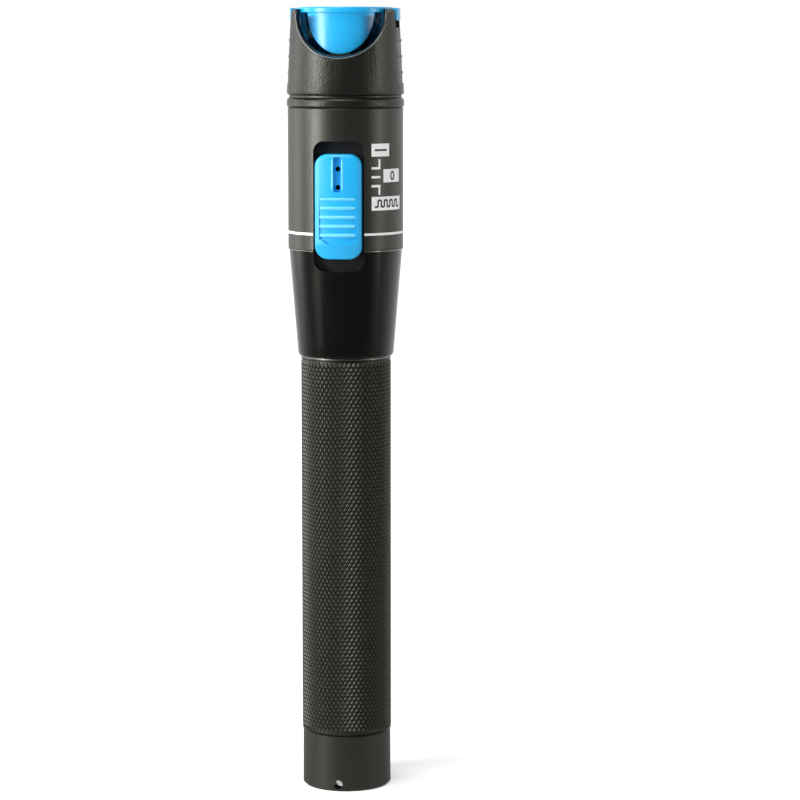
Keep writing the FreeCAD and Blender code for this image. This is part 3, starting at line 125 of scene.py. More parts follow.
class LocatorColours(bpy.types.PropertyGroup):
    blue: colour_property("Blue plastic", (0.010, 0.41, 0.82), "Thumb slider and lid")
    barrel: colour_property("Barrel paint", (0.010, 0.011, 0.008), "Matte paint on the barrel")
    cone: colour_property("Cone", (0.003, 0.003, 0.003), "Polished black anodising")
    knurl: colour_property("Grip", (0.014, 0.0148, 0.0115), "Knurled black anodising")
    cap: colour_property("Tail cap", (0.014, 0.015, 0.012), "Satin black anodising")
    head: colour_property("Head", (0.006, 0.006, 0.005), "Grained black plastic")
    ink: colour_property("Ink", (0.97, 0.97, 0.96), "Printed lines and boxes")
    nickel: colour_property("Nickel", (0.66, 0.64, 0.60), "Plated metal")
    brass: colour_property("Brass", (0.70, 0.47, 0.20), "Turned brass")


def sizes():
    return bpy.context.scene.locator_sizes


def colours():
    return bpy.context.scene.locator_colours


# ---------------------------------------------------------------- shader groups

def shader_group(name, inputs, outputs):
    """A new node group with the named sockets, and its input and output nodes."""
    tree = bpy.data.node_groups.new(name, "ShaderNodeTree")
    for label, kind, value in inputs:
        socket = tree.interface.new_socket(label, in_out="INPUT", socket_type=kind)
        socket.default_value = value
    for label, kind in outputs:
        tree.interface.new_socket(label, in_out="OUTPUT", socket_type=kind)
    return tree, tree.nodes.new("NodeGroupInput"), tree.nodes.new("NodeGroupOutput")


def math_node(tree, operation, first, second=None, third=None):
    """The result of a math operation on numbers or sockets."""
    node = tree.nodes.new("ShaderNodeMath")
    node.operation = operation
    for place, value in enumerate((first, second, third)):
        if value is None:
            continue
        if isinstance(value, (int, float)):
            node.inputs[place].default_value = value
        else:
            tree.links.new(value, node.inputs[place])
    return node.outputs[0]


def mix_colour(tree, factor, first, second):
    """A blend of two colours, each a socket or red, green, blue and alpha."""
    node = tree.nodes.new("ShaderNodeMix")
    node.data_type = "RGBA"
    tree.links.new(factor, node.inputs["Factor"])
    for name, value in (("A", first), ("B", second)):
        if isinstance(value, tuple):
            node.inputs[name].default_value = value
        else:
            tree.links.new(value, node.inputs[name])
    return node.outputs["Result"]


def eased(tree, value, start, end, first, last):
    """A value that goes smoothly from first to last while another goes from start to end."""
    node = tree.nodes.new("ShaderNodeMapRange")
    node.interpolation_type = "SMOOTHSTEP"
    for name, number in (("From Min", start), ("From Max", end), ("To Min", first),
                         ("To Max", last)):
        node.inputs[name].default_value = number
    tree.links.new(value, node.inputs["Value"])
    return node.outputs["Result"]


def noise(tree, scale, detail, roughness=0.5, stretch=None):
    """Noise in the piece's own space; scale may be a number or a socket."""
    where = tree.nodes.new("ShaderNodeTexCoord").outputs["Object"]
    if stretch:
        mapping = tree.nodes.new("ShaderNodeMapping")
        mapping.inputs["Scale"].default_value = stretch
        tree.links.new(where, mapping.inputs["Vector"])
        where = mapping.outputs["Vector"]
    node = tree.nodes.new("ShaderNodeTexNoise")
    node.inputs["Detail"].default_value = detail
    node.inputs["Roughness"].default_value = roughness
    tree.links.new(where, node.inputs["Vector"])
    if isinstance(scale, (int, float)):
        node.inputs["Scale"].default_value = scale
    else:
        tree.links.new(scale, node.inputs["Scale"])
    return node.outputs["Fac"]


def grain_group():
    """Spark-eroded or blasted grain: fine pits, with the tops a little lighter."""
    tree, inputs, outputs = shader_group(
        "Surface grain",
        [("Colour", "NodeSocketColor", (0.02, 0.02, 0.02, 1)),
         ("Tops", "NodeSocketColor", (0.04, 0.04, 0.04, 1)),
         ("Grains per metre", "NodeSocketFloat", 5000.0),
         ("Roughness", "NodeSocketFloat", 0.5), ("Variation", "NodeSocketFloat", 0.1)],
        [("Colour", "NodeSocketColor"), ("Roughness", "NodeSocketFloat"),
         ("Height", "NodeSocketFloat")])
    fine = noise(tree, inputs.outputs["Grains per metre"], detail=2.0)
    broad = noise(tree, scale=90.0, detail=3.0)
    tops = tree.nodes.new("ShaderNodeMapRange")
    tops.inputs["From Min"].default_value = 0.45
    tops.inputs["From Max"].default_value = 0.7
    tree.links.new(fine, tops.inputs["Value"])
    colour = mix_colour(tree, tops.outputs["Result"], inputs.outputs["Colour"],
                        inputs.outputs["Tops"])
    shift = math_node(tree, "MULTIPLY_ADD", broad, inputs.outputs["Variation"],
                      inputs.outputs["Roughness"])
    tree.links.new(colour, outputs.inputs["Colour"])
    tree.links.new(shift, outputs.inputs["Roughness"])
    tree.links.new(fine, outputs.inputs["Height"])
    return tree


def turned_group():
    """Fine lathe marks that run around the pen, with a slow drift in gloss."""
    tree, inputs, outputs = shader_group(
        "Lathe marks",
        [("Marks per metre", "NodeSocketFloat", 9000.0),
         ("Roughness", "NodeSocketFloat", 0.3), ("Variation", "NodeSocketFloat", 0.1)],
        [("Roughness", "NodeSocketFloat"), ("Height", "NodeSocketFloat")])
    marks = noise(tree, inputs.outputs["Marks per metre"], detail=1.0,
                  stretch=(0.01, 0.01, 1.0))
    drift = noise(tree, scale=60.0, detail=2.0)
    mean = math_node(tree, "MULTIPLY", math_node(tree, "ADD", marks, drift), 0.5)
    rough = math_node(tree, "MULTIPLY_ADD", mean, inputs.outputs["Variation"],
                      inputs.outputs["Roughness"])
    tree.links.new(rough, outputs.inputs["Roughness"])
    tree.links.new(marks, outputs.inputs["Height"])
    return tree


def smudge_group():
    """Handling marks on glossy plastic: soft patches of duller surface."""
    tree, inputs, outputs = shader_group(
        "Handling marks",
        [("Roughness", "NodeSocketFloat", 0.25), ("Dulling", "NodeSocketFloat", 0.15),
         ("Colour", "NodeSocketColor", (0.1, 0.3, 0.8, 1)),
         ("Paler", "NodeSocketColor", (0.2, 0.4, 0.9, 1))],
        [("Colour", "NodeSocketColor"), ("Roughness", "NodeSocketFloat"),
         ("Height", "NodeSocketFloat")])
    patches = noise(tree, scale=260.0, detail=4.0, roughness=0.6)
    orange_peel = noise(tree, scale=1400.0, detail=1.0)
    rough = math_node(tree, "MULTIPLY_ADD", patches, inputs.outputs["Dulling"],
                      inputs.outputs["Roughness"])
    slight = math_node(tree, "MULTIPLY", patches, 0.35)
    colour = mix_colour(tree, slight, inputs.outputs["Colour"], inputs.outputs["Paler"])
    tree.links.new(colour, outputs.inputs["Colour"])
    tree.links.new(rough, outputs.inputs["Roughness"])
    tree.links.new(orange_peel, outputs.inputs["Height"])
    return tree


def new_material(name, **sockets):
    """A node material whose Principled sockets are given by name."""
    material = bpy.data.materials.new(name)
    material.use_nodes = True
    tree = material.node_tree
    shader = tree.nodes["Principled BSDF"]
    for socket, value in sockets.items():
        shader.inputs[socket.replace("_", " ")].default_value = value
    return material, tree, shader


def add_bump(tree, shader, height, distance):
    """Relief of the given distance on a shader."""
    bump = tree.nodes.new("ShaderNodeBump")
    bump.inputs["Distance"].default_value = distance
    tree.links.new(height, bump.inputs["Height"])
    tree.links.new(bump.outputs["Normal"], shader.inputs["Normal"])


def place_group(tree, name, maker, **values):
    """A node of a shader group, which is made when first used, with its own values."""
    node = tree.nodes.new("ShaderNodeGroup")
    node.node_tree = bpy.data.node_groups.get(name) or maker()
    for socket, value in values.items():
        node.inputs[socket.replace("_", " ")].default_value = value
    return node


def opaque(colour, factor=1.0):
    """A colour made paler by a factor, with full alpha."""
    return tuple(min(1.0, channel * factor) for channel in colour) + (1.0,)


def grained(name, colour, tops, grains, depth, rough, variation=0.1, **sockets):
    """A matte surface with fine grain: moulded plastic, blasted or painted metal."""
    material, tree, shader = new_material(name, **sockets)
    grain = place_group(tree, "Surface grain", grain_group, Colour=opaque(colour),
                        Tops=opaque(colour, tops), Grains_per_metre=grains, Roughness=rough,
                        Variation=variation)
    tree.links.new(grain.outputs["Colour"], shader.inputs["Base Color"])
    tree.links.new(grain.outputs["Roughness"], shader.inputs["Roughness"])
    add_bump(tree, shader, grain.outputs["Height"], depth)
    return material


def lathed(name, colour, rough, variation, depth, **sockets):
    """Turned metal, bare, plated or anodised."""
    material, tree, shader = new_material(name, Base_Color=opaque(colour), **sockets)
    marks = place_group(tree, "Lathe marks", turned_group, Roughness=rough, Variation=variation)
    tree.links.new(marks.outputs["Roughness"], shader.inputs["Roughness"])
    add_bump(tree, shader, marks.outputs["Height"], depth)
    return material


def glossy_plastic(name, colour, rough, dulling, **sockets):
    """A moulded or glazed surface with the marks of handling."""
    orange_peel = 0.004 * MM
    material, tree, shader = new_material(name, **sockets)
    marks = place_group(tree, "Handling marks", smudge_group, Colour=opaque(colour),
                        Paler=opaque(colour, 1.25), Roughness=rough, Dulling=dulling)
    tree.links.new(marks.outputs["Colour"], shader.inputs["Base Color"])
    tree.links.new(marks.outputs["Roughness"], shader.inputs["Roughness"])
    add_bump(tree, shader, marks.outputs["Height"], orange_peel)
    return material


def finish(node, material):
    """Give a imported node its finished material."""
    item = frame["nodes"][node]
    item.data.materials.clear()
    item.data.materials.append(material)


# ---------------------------------------------------------------- mesh helpers

def linked(name, data):
    """A new object in the scene."""
    item = bpy.data.objects.new(name, data)
    bpy.context.scene.collection.objects.link(item)
    return item


def new_piece(name, verts, faces, material, body, smooth_angle=None):
    """A mesh piece that rides on a body and takes its finish from a material slot."""
    mesh = bpy.data.meshes.new(name)
    mesh.from_pydata(verts, [], faces)
    mesh.validate()
    mesh.materials.append(material)
    item = linked(name, mesh)
    shape = bmesh.new()
    shape.from_mesh(mesh)
    bmesh.ops.recalc_face_normals(shape, faces=shape.faces)
    shape.to_mesh(mesh)
    shape.free()
    if smooth_angle is not None:
        mesh.shade_smooth()
        mesh.set_sharp_from_angle(angle=smooth_angle)
    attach(item, body)
    return item


def softened(node, width, material, sharp=28):
    """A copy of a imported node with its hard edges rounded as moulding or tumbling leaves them."""
    packed = frame["nodes"][node]
    mesh = packed.data.copy()
    mesh.name = node + "_soft"
    shape = bmesh.new()
    shape.from_mesh(mesh)
    bmesh.ops.remove_doubles(shape, verts=shape.verts, dist=SAME_PLACE)
    bmesh.ops.dissolve_limit(shape, angle_limit=SAME_PLANE, verts=shape.verts, edges=shape.edges)
    shape.to_mesh(mesh)
    shape.free()
    mesh.materials.clear()
    mesh.materials.append(material)
    item = linked(node + "_soft", mesh)
    rounding = item.modifiers.new("Rounding", "BEVEL")
    rounding.width = width
    rounding.segments = 3
    rounding.limit_method = "ANGLE"
    rounding.angle_limit = math.radians(sharp)
    rounding.use_clamp_overlap = False
    rounding.harden_normals = True
    mesh.shade_smooth()
    mesh.set_sharp_from_angle(angle=math.radians(sharp))
    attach(item, packed["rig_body"])
    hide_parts(node)
    return item


def bead(path, outward, thick, tapers=(1.0, 1.0)):
    """Vertices and faces of a round bar along a path, narrowed at its ends by the tapers."""
    around = 12
    verts, faces = [], []
    last = len(path) - 1
    for step, point in enumerate(path):
        run = path[min(step + 1, last)] - path[max(step - 1, 0)]
        out = outward[step]
        side = run.cross(out).normalized()
        full = thick * (*tapers, 1.0)[min(step, last - step, len(tapers))]
        for part in range(around):
            turn = 2 * math.pi * part / around
            verts.append(tuple(point + full * (math.cos(turn) * out + math.sin(turn) * side)))
    for step in range(last):
        for part in range(around):
            here, after = step * around + part, step * around + (part + 1) % around
            faces.append((here, after, after + around, here + around))
    end = last * around
    faces += [tuple(reversed(range(around))), tuple(range(end, end + around))]
    return verts, faces


def gathered(shapes):
    """Vertices and faces of several shapes as those of one."""
    verts, faces = [], []
    for points, quads in shapes:
        faces += [tuple(len(verts) + place for place in face) for face in quads]
        verts += points
    return verts, faces


def ring(radius, height, count):
    """Points around the pen's axis; radius may be a number or a function of the angle."""
    points = []
    for step in range(count):
        angle = 2 * math.pi * step / count
        reach = radius(angle) if callable(radius) else radius
        points.append((reach * math.sin(angle), -reach * math.cos(angle), height))
    return points


def join_rings(rings):
    """Vertices and quads that join equal rings in order."""
    count = len(rings[0])
    verts = [point for line in rings for point in line]
    faces = []
    for row in range(len(rings) - 1):
        here, there = row * count, (row + 1) * count
        for step in range(count):
            after = (step + 1) % count
            faces.append((here + step, here + after, there + after, there + step))
    return verts, faces


# ---------------------------------------------------------------- knurled grip

# The tube's radii: bore, spigot in the cap, plug in the cone, diamonds' tops, bright edge.
BORE, SPIGOT, PLUG, CREST, BRIGHT = 7.4 * MM, 8.6 * MM, 9.3 * MM, 10.05 * MM, 10.1 * MM
EDGE = 0.15 * MM


def knurl_faces(starts, rows, low, high, crest, depth):
    """Flat-topped diamonds between two hands of crossed grooves, as verts and faces."""
    half_top = 0.42
    columns = 2 * starts
    row_height = (high - low) / rows

    def spot(column, row, radius):
        angle = 2 * math.pi * column / columns
        return (radius * math.sin(angle), -radius * math.cos(angle), low + row * row_height)

    verts, faces, valley = [], [], {}
    for row in range(rows + 1):
        for column in range(columns):
            if (row + column) % 2 == 0 or row in (0, rows):
                valley[column, row] = len(verts)
                verts.append(spot(column, row, crest - depth))
    for row in range(1, rows):
        for column in range(columns):
            if (row + column) % 2 == 0:
                continue
            corners = [((column - 1) % columns, row), (column, row - 1),
                       ((column + 1) % columns, row), (column, row + 1)]
            first = len(verts)
            for across, up in ((-half_top, 0), (0, -half_top), (half_top, 0), (0, half_top)):
                verts.append(spot(column + across, row + up, crest))
            faces.append((first, first + 1, first + 2, first + 3))
            for side in range(4):
                after = (side + 1) % 4
                faces.append((valley[corners[side]], valley[corners[after]], first + after,
                              first + side))
    for row, inward in ((0, 1), (rows, rows - 1)):
        for column in range(columns):
            if (row + column) % 2 == 0:
                continue
            sides = valley[(column - 1) % columns, row], valley[(column + 1) % columns, row]
            faces.append((sides[0], valley[column, row], sides[1], valley[column, inward]))
    return verts, faces


class LOCATOR_OT_grip(bpy.types.Operator):
    """Make the knurled grip tube with its bright land and the thread under the tail cap"""
    bl_idname = "locator.grip"
    bl_label = "Knurled grip"

    def execute(self, context):
        size, paint = sizes(), colours()
        low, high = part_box("grip_tube")
        cap_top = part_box("tail_cap")[1].z
        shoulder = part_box("cone_sleeve")[0].z
        knurl_low, knurl_high = cap_top + 0.45 * MM, shoulder - 0.75 * MM
        rows = 2 * round((knurl_high - knurl_low) / size.knurl_row)
        verts, faces = knurl_faces(size.knurl_starts, rows, knurl_low, knurl_high, CREST,
                                   size.knurl_depth)
        grip = grained("Knurled black anodising", paint.knurl, tops=1.7, grains=9000.0,
                       depth=0.006 * MM, rough=0.42, Metallic=0.35, Specular_IOR_Level=1.0,
                       Specular_Tint=OLIVE)
        item = new_piece("grip_knurl", verts, faces, grip, "body")
        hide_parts("grip_tube")
        satin = lathed("Plain black anodising", paint.knurl, rough=0.3, variation=0.15,
                       depth=0.004 * MM, Metallic=0.5)
        bright = lathed("Bare turned edge", (0.22, 0.22, 0.20), rough=0.3, variation=0.2,
                        depth=0.003 * MM, Metallic=1.0)
        root, land = CREST - size.knurl_depth, shoulder - 0.3 * MM
        self.thread(satin, low.z, cap_top, knurl_low, root)
        self.turned("grip_neck", satin, (
            (root, knurl_high), (CREST, knurl_high + EDGE), (CREST, land)))
        self.turned("grip_bright_edge", bright, (
            (CREST, land), (BRIGHT, land + 0.05 * MM), (BRIGHT, shoulder), (PLUG, shoulder),
            (PLUG, high.z), (BORE, high.z), (BORE, low.z)))
        return {"FINISHED"}

    def turned(self, name, material, outline, below=()):
        """A plain part of the tube, from (radius, height) points above any rings below."""
        count = 2 * sizes().knurl_starts
        verts, faces = join_rings([*below, *(ring(*point, count) for point in outline)])
        item = new_piece(name, verts, faces, material, "body",
                         smooth_angle=math.radians(30))
        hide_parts("grip_tube")

    def thread(self, material, low, cap_top, knurl_low, root):
        """The thread and the seal's groove in the cap, and the collar under the knurling."""
        pitch, count = sizes().thread_pitch, 2 * sizes().knurl_starts
        depth, slices = 0.35 * MM, 10
        start, margin = low + 0.3 * MM, 0.6 * MM
        groove_low, groove_high = cap_top - 1.5 * MM, cap_top - 0.6 * MM
        groove, seat = SPIGOT - 0.65 * MM, cap_top + 0.12 * MM
        rings = [ring(BORE, low, count)]
        for step in range(int((groove_low - low - margin) / pitch * slices) + 1):
            height = start + step * pitch / slices

            def flank(angle, height=height):
                phase = (height / pitch - angle / (2 * math.pi)) % 1.0
                return SPIGOT - depth * abs(2 * phase - 1)
            rings.append(ring(flank, height, count))
        self.turned("grip_thread", material, (
            (SPIGOT, groove_low - 0.1 * MM), (SPIGOT, groove_low), (groove, groove_low),
            (groove, groove_high), (SPIGOT, groove_high), (SPIGOT, seat), (CREST - EDGE, seat),
            (CREST, seat + EDGE), (CREST, knurl_low - EDGE), (root, knurl_low)), rings)


# ---------------------------------------------------------------- metal bodies

class LOCATOR_OT_metal(bpy.types.Operator):
    """Finish the tail cap, the cone and the barrel"""
    bl_idname = "locator.metal"
    bl_label = "Cap, cone and barrel"

    def execute(self, context):
        paint = colours()
        finish("tail_cap", grained(
            "Satin black anodising", paint.cap, tops=1.5, grains=12000.0, depth=0.002 * MM,
            rough=0.36, Specular_IOR_Level=0.55, Specular_Tint=OLIVE))
        softened("cone_sleeve", 0.1 * MM, lathed(
            "Polished black anodising", paint.cone, rough=0.14, variation=0.12,
            depth=0.0006 * MM, Specular_IOR_Level=0.4, Specular_Tint=OLIVE))
        softened("barrel_shell", 0.1 * MM, grained(
            "Matte black paint", paint.barrel, tops=1.4, grains=5000.0, depth=0.01 * MM,
            rough=0.36, Specular_IOR_Level=0.7, Specular_Tint=OLIVE))
        self.seam_bead(lathed("Rolled edge", (0.3, 0.3, 0.28), rough=0.2, variation=0.15,
                              depth=0.002 * MM, Metallic=1.0))
        return {"FINISHED"}

    def seam_bead(self, material):
        """The bright rolled edge under the barrel, open across the switch slot."""
        thick, proud, steps = 0.14 * MM, 0.02 * MM, 160
        start, end = math.radians(27), math.radians(333)
        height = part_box("barrel_shell")[0].z - 0.1 * MM
        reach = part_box("cone_sleeve")[1].x + proud
        angles = [start + (end - start) * step / steps for step in range(steps + 1)]
        outward = [Vector((math.sin(angle), -math.cos(angle), 0)) for angle in angles]
        path = [out * reach + Vector((0, 0, height)) for out in outward]
        verts, faces = bead(path, outward, thick)
        new_piece("seam_bead", verts, faces, material, "body",
                  smooth_angle=math.radians(60))


# ---------------------------------------------------------------- printing

def wrapped(name, outlines, radius, material):
    """Flat outlines, as (along, up) points, laid around the barrel as one thin piece.

    Along is the distance around the barrel from the middle of its front. Each round of cuts
    halves the edges that are too long to follow the curve.
    """
    longest, rounds = 0.6 * MM, 8
    shape = bmesh.new()
    for outline in outlines:
        shape.faces.new([shape.verts.new((along, 0, up)) for along, up in outline])
    for _ in range(rounds):
        if all(edge.calc_length() <= longest for edge in shape.edges):
            break
        bmesh.ops.triangulate(shape, faces=shape.faces)
        long_edges = [edge for edge in shape.edges if edge.calc_length() > longest]
        bmesh.ops.subdivide_edges(shape, edges=long_edges, cuts=1)
    bmesh.ops.triangulate(shape, faces=shape.faces)
    for vert in shape.verts:
        angle = vert.co.x / radius
        vert.co = Vector((radius * math.sin(angle), -radius * math.cos(angle), vert.co.z))
    bmesh.ops.recalc_face_normals(shape, faces=shape.faces)
    mesh = bpy.data.meshes.new(name)
    shape.to_mesh(mesh)
    shape.free()
    mesh.materials.append(material)
    item = linked(name, mesh)
    middle = sum((vert.co for vert in mesh.vertices), Vector()) / len(mesh.vertices)
    outward = Vector((middle.x, middle.y, 0))
    if mesh.polygons[0].normal.dot(outward) < 0:
        mesh.flip_normals()
    mesh.shade_smooth()
    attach(item, "body")


def oblong(left, right, low, high):
    """The outline of an upright rectangle."""
    return [(left, low), (right, low), (right, high), (left, high)]


class LOCATOR_OT_print(bpy.types.Operator):
    """Print the ring line and the switch scale on the barrel"""
    bl_idname = "locator.print"
    bl_label = "Printed marks"

    def execute(self, context):
        size = sizes()
        low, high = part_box("barrel_shell")
        slot_low, slot_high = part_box("thumb_slider")
        middle = (slot_low.z + slot_high.z) / 2
        radius = high.x + size.print_proud
        degree = 12.8 * MM * math.pi / 180
        ink = grained("White ink", colours().ink, tops=1.0, grains=9000.0, depth=0.004 * MM,
                      rough=0.45)
        dark = grained("Black ink", colours().barrel, tops=1.2, grains=7000.0,
                       depth=0.004 * MM, rough=0.5)
        line, half = low.z + 3.7 * MM, size.stroke * 0.55
        slot = 26.2 * degree
        wrapped("ring_line", [oblong(slot, 360 * degree - slot, line - half, line + half)],
                radius, ink)
        left = 34 * degree
        # Left, right, bottom and top of the boxes for steady, off and flashing.
        boxes = ((left, 56 * degree, middle + 10.9 * MM, middle + 13.7 * MM),
                 (48 * degree, 74 * degree, middle + 5.2 * MM, middle + 8.1 * MM),
                 (left, 76 * degree, middle - 0.9 * MM, middle + 2.1 * MM))
        wrapped("switch_boxes", [oblong(*box) for box in boxes], radius, ink)
        wrapped("switch_lines", self.lines(left, 43 * degree, middle + 6.4 * MM, size.stroke),
                radius, ink)
        wrapped("switch_signs", self.signs(boxes, size.stroke * 0.8),
                radius + size.print_proud, dark)
        return {"FINISHED"}

    def lines(self, left, bend, centre, stroke):
        """Three level lines beside the slider, the outer two stepped towards their boxes."""
        step, half = 1.95 * MM, stroke / 2
        outlines = []
        for side in (-1, 1):
            row = centre + side * step
            outlines.append(oblong(left, bend + half, row - half, row + half))
            tip = row + side * step
            outlines.append(oblong(bend - half, bend + half, min(row + side * half, tip),
                                   max(row + side * half, tip)))
        outlines.append(oblong(left, bend + half, centre - half, centre + half))
        return outlines

    def signs(self, boxes, stroke):
        """A steady line, a nought for off, and a square wave for flashing."""
        steady, off, flashing = boxes
        return [*self.dash(*steady, stroke), *self.nought(*off, stroke),
                *self.square_wave(*flashing, stroke)]

    def dash(self, left, right, low, high, stroke):
        centre, half = (low + high) / 2, stroke / 2
        return [oblong(left + 2 * stroke, right - 2 * stroke, centre - half, centre + half)]

    def nought(self, left, right, low, high, stroke):
        across, centre = (left + right) / 2, (low + high) / 2
        tall, wide, count = (high - low) * 0.36, (high - low) * 0.26, 32
        outlines = []
        for step in range(count):
            turns = [2 * math.pi * (step + shift) / count for shift in (0, 1)]
            outer = [(across + wide * math.cos(turn), centre + tall * math.sin(turn))
                     for turn in turns]
            inner = [(across + (wide - stroke) * math.cos(turn),
                      centre + (tall - stroke) * math.sin(turn)) for turn in turns]
            outlines.append([outer[0], outer[1], inner[1], inner[0]])
        return outlines

    def square_wave(self, left, right, low, high, stroke):
        half, margin, pulses = stroke / 2, (high - low) * 0.26, 4
        pitch = (right - left - 4 * stroke) / (2 * pulses + 1)
        base, top = low + margin, high - margin
        outlines = []
        for step in range(2 * pulses + 1):
            start = left + 2 * stroke + step * pitch
            level = top if step % 2 else base
            outlines.append(oblong(start, start + pitch, level - half, level + half))
            if step < 2 * pulses:
                outlines.append(oblong(start + pitch - half, start + pitch + half, base, top))
        return outlines


# ---------------------------------------------------------------- head, lid and slider

class LOCATOR_OT_head(bpy.types.Operator):
    """Finish the moulded head and the neck ring"""
    bl_idname = "locator.head"
    bl_label = "Head"

    def execute(self, context):
        plastic = grained("Grained black plastic", colours().head, tops=1.5, grains=2900.0,
                          depth=0.075 * MM, rough=0.32, Specular_IOR_Level=0.55,
                          Specular_Tint=OLIVE)
        softened("head_cover", 0.16 * MM, plastic)
        softened("neck_ring", 0.15 * MM, plastic)
        self.notch_lip(glossy_plastic("Polished black lip", (0.02, 0.02, 0.018), rough=0.22,
                                      dulling=0.1, Specular_IOR_Level=1.0))
        return {"FINISHED"}

    def notch_lip(self, material):
        """A fine round lip along the outer edge of the front notch.

        The notch's edge lies between a face of the outer wall and one turned into the notch.
        """
        thick, proud, apart = 0.26 * MM, 0.12 * MM, 0.05 * MM
        front, half_wide, outer_wall, turned_in = -5 * MM, 10.6 * MM, 0.95, 0.85
        head_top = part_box("head_cover")[1].z
        notch_middle, notch_low = head_top - 0.8 * MM, head_top - 11.5 * MM
        shape = bmesh.new()
        shape.from_mesh(frame["nodes"]["head_cover"].data)
        bmesh.ops.remove_doubles(shape, verts=shape.verts, dist=SAME_PLACE)
        points = []
        for edge in shape.edges:
            place = (edge.verts[0].co + edge.verts[1].co) / 2
            if place.y > front or abs(place.x) > half_wide or len(edge.link_faces) != 2:
                continue
            out = Vector((place.x, place.y, 0)).normalized()
            facing = sorted(face.normal.dot(out) for face in edge.link_faces)
            if facing[1] > outer_wall and facing[0] < turned_in and place.z > notch_low:
                points += [vert.co.copy() for vert in edge.verts]
        shape.free()

        def from_top(point):
            return (math.atan2(point.z - notch_middle, point.x) - math.pi / 2) % (2 * math.pi)

        points.sort(key=from_top)
        path = [points[0]]
        for point in points[1:]:
            if (point - path[-1]).length > apart:
                path.append(point)
        outward = [Vector((point.x, point.y, 0)).normalized() for point in path]
        path = [point - out * (thick - proud) for point, out in zip(path, outward)]
        verts, faces = bead(path, outward, thick)
        new_piece("notch_lip", verts, faces, material, "body",
                  smooth_angle=math.radians(60))


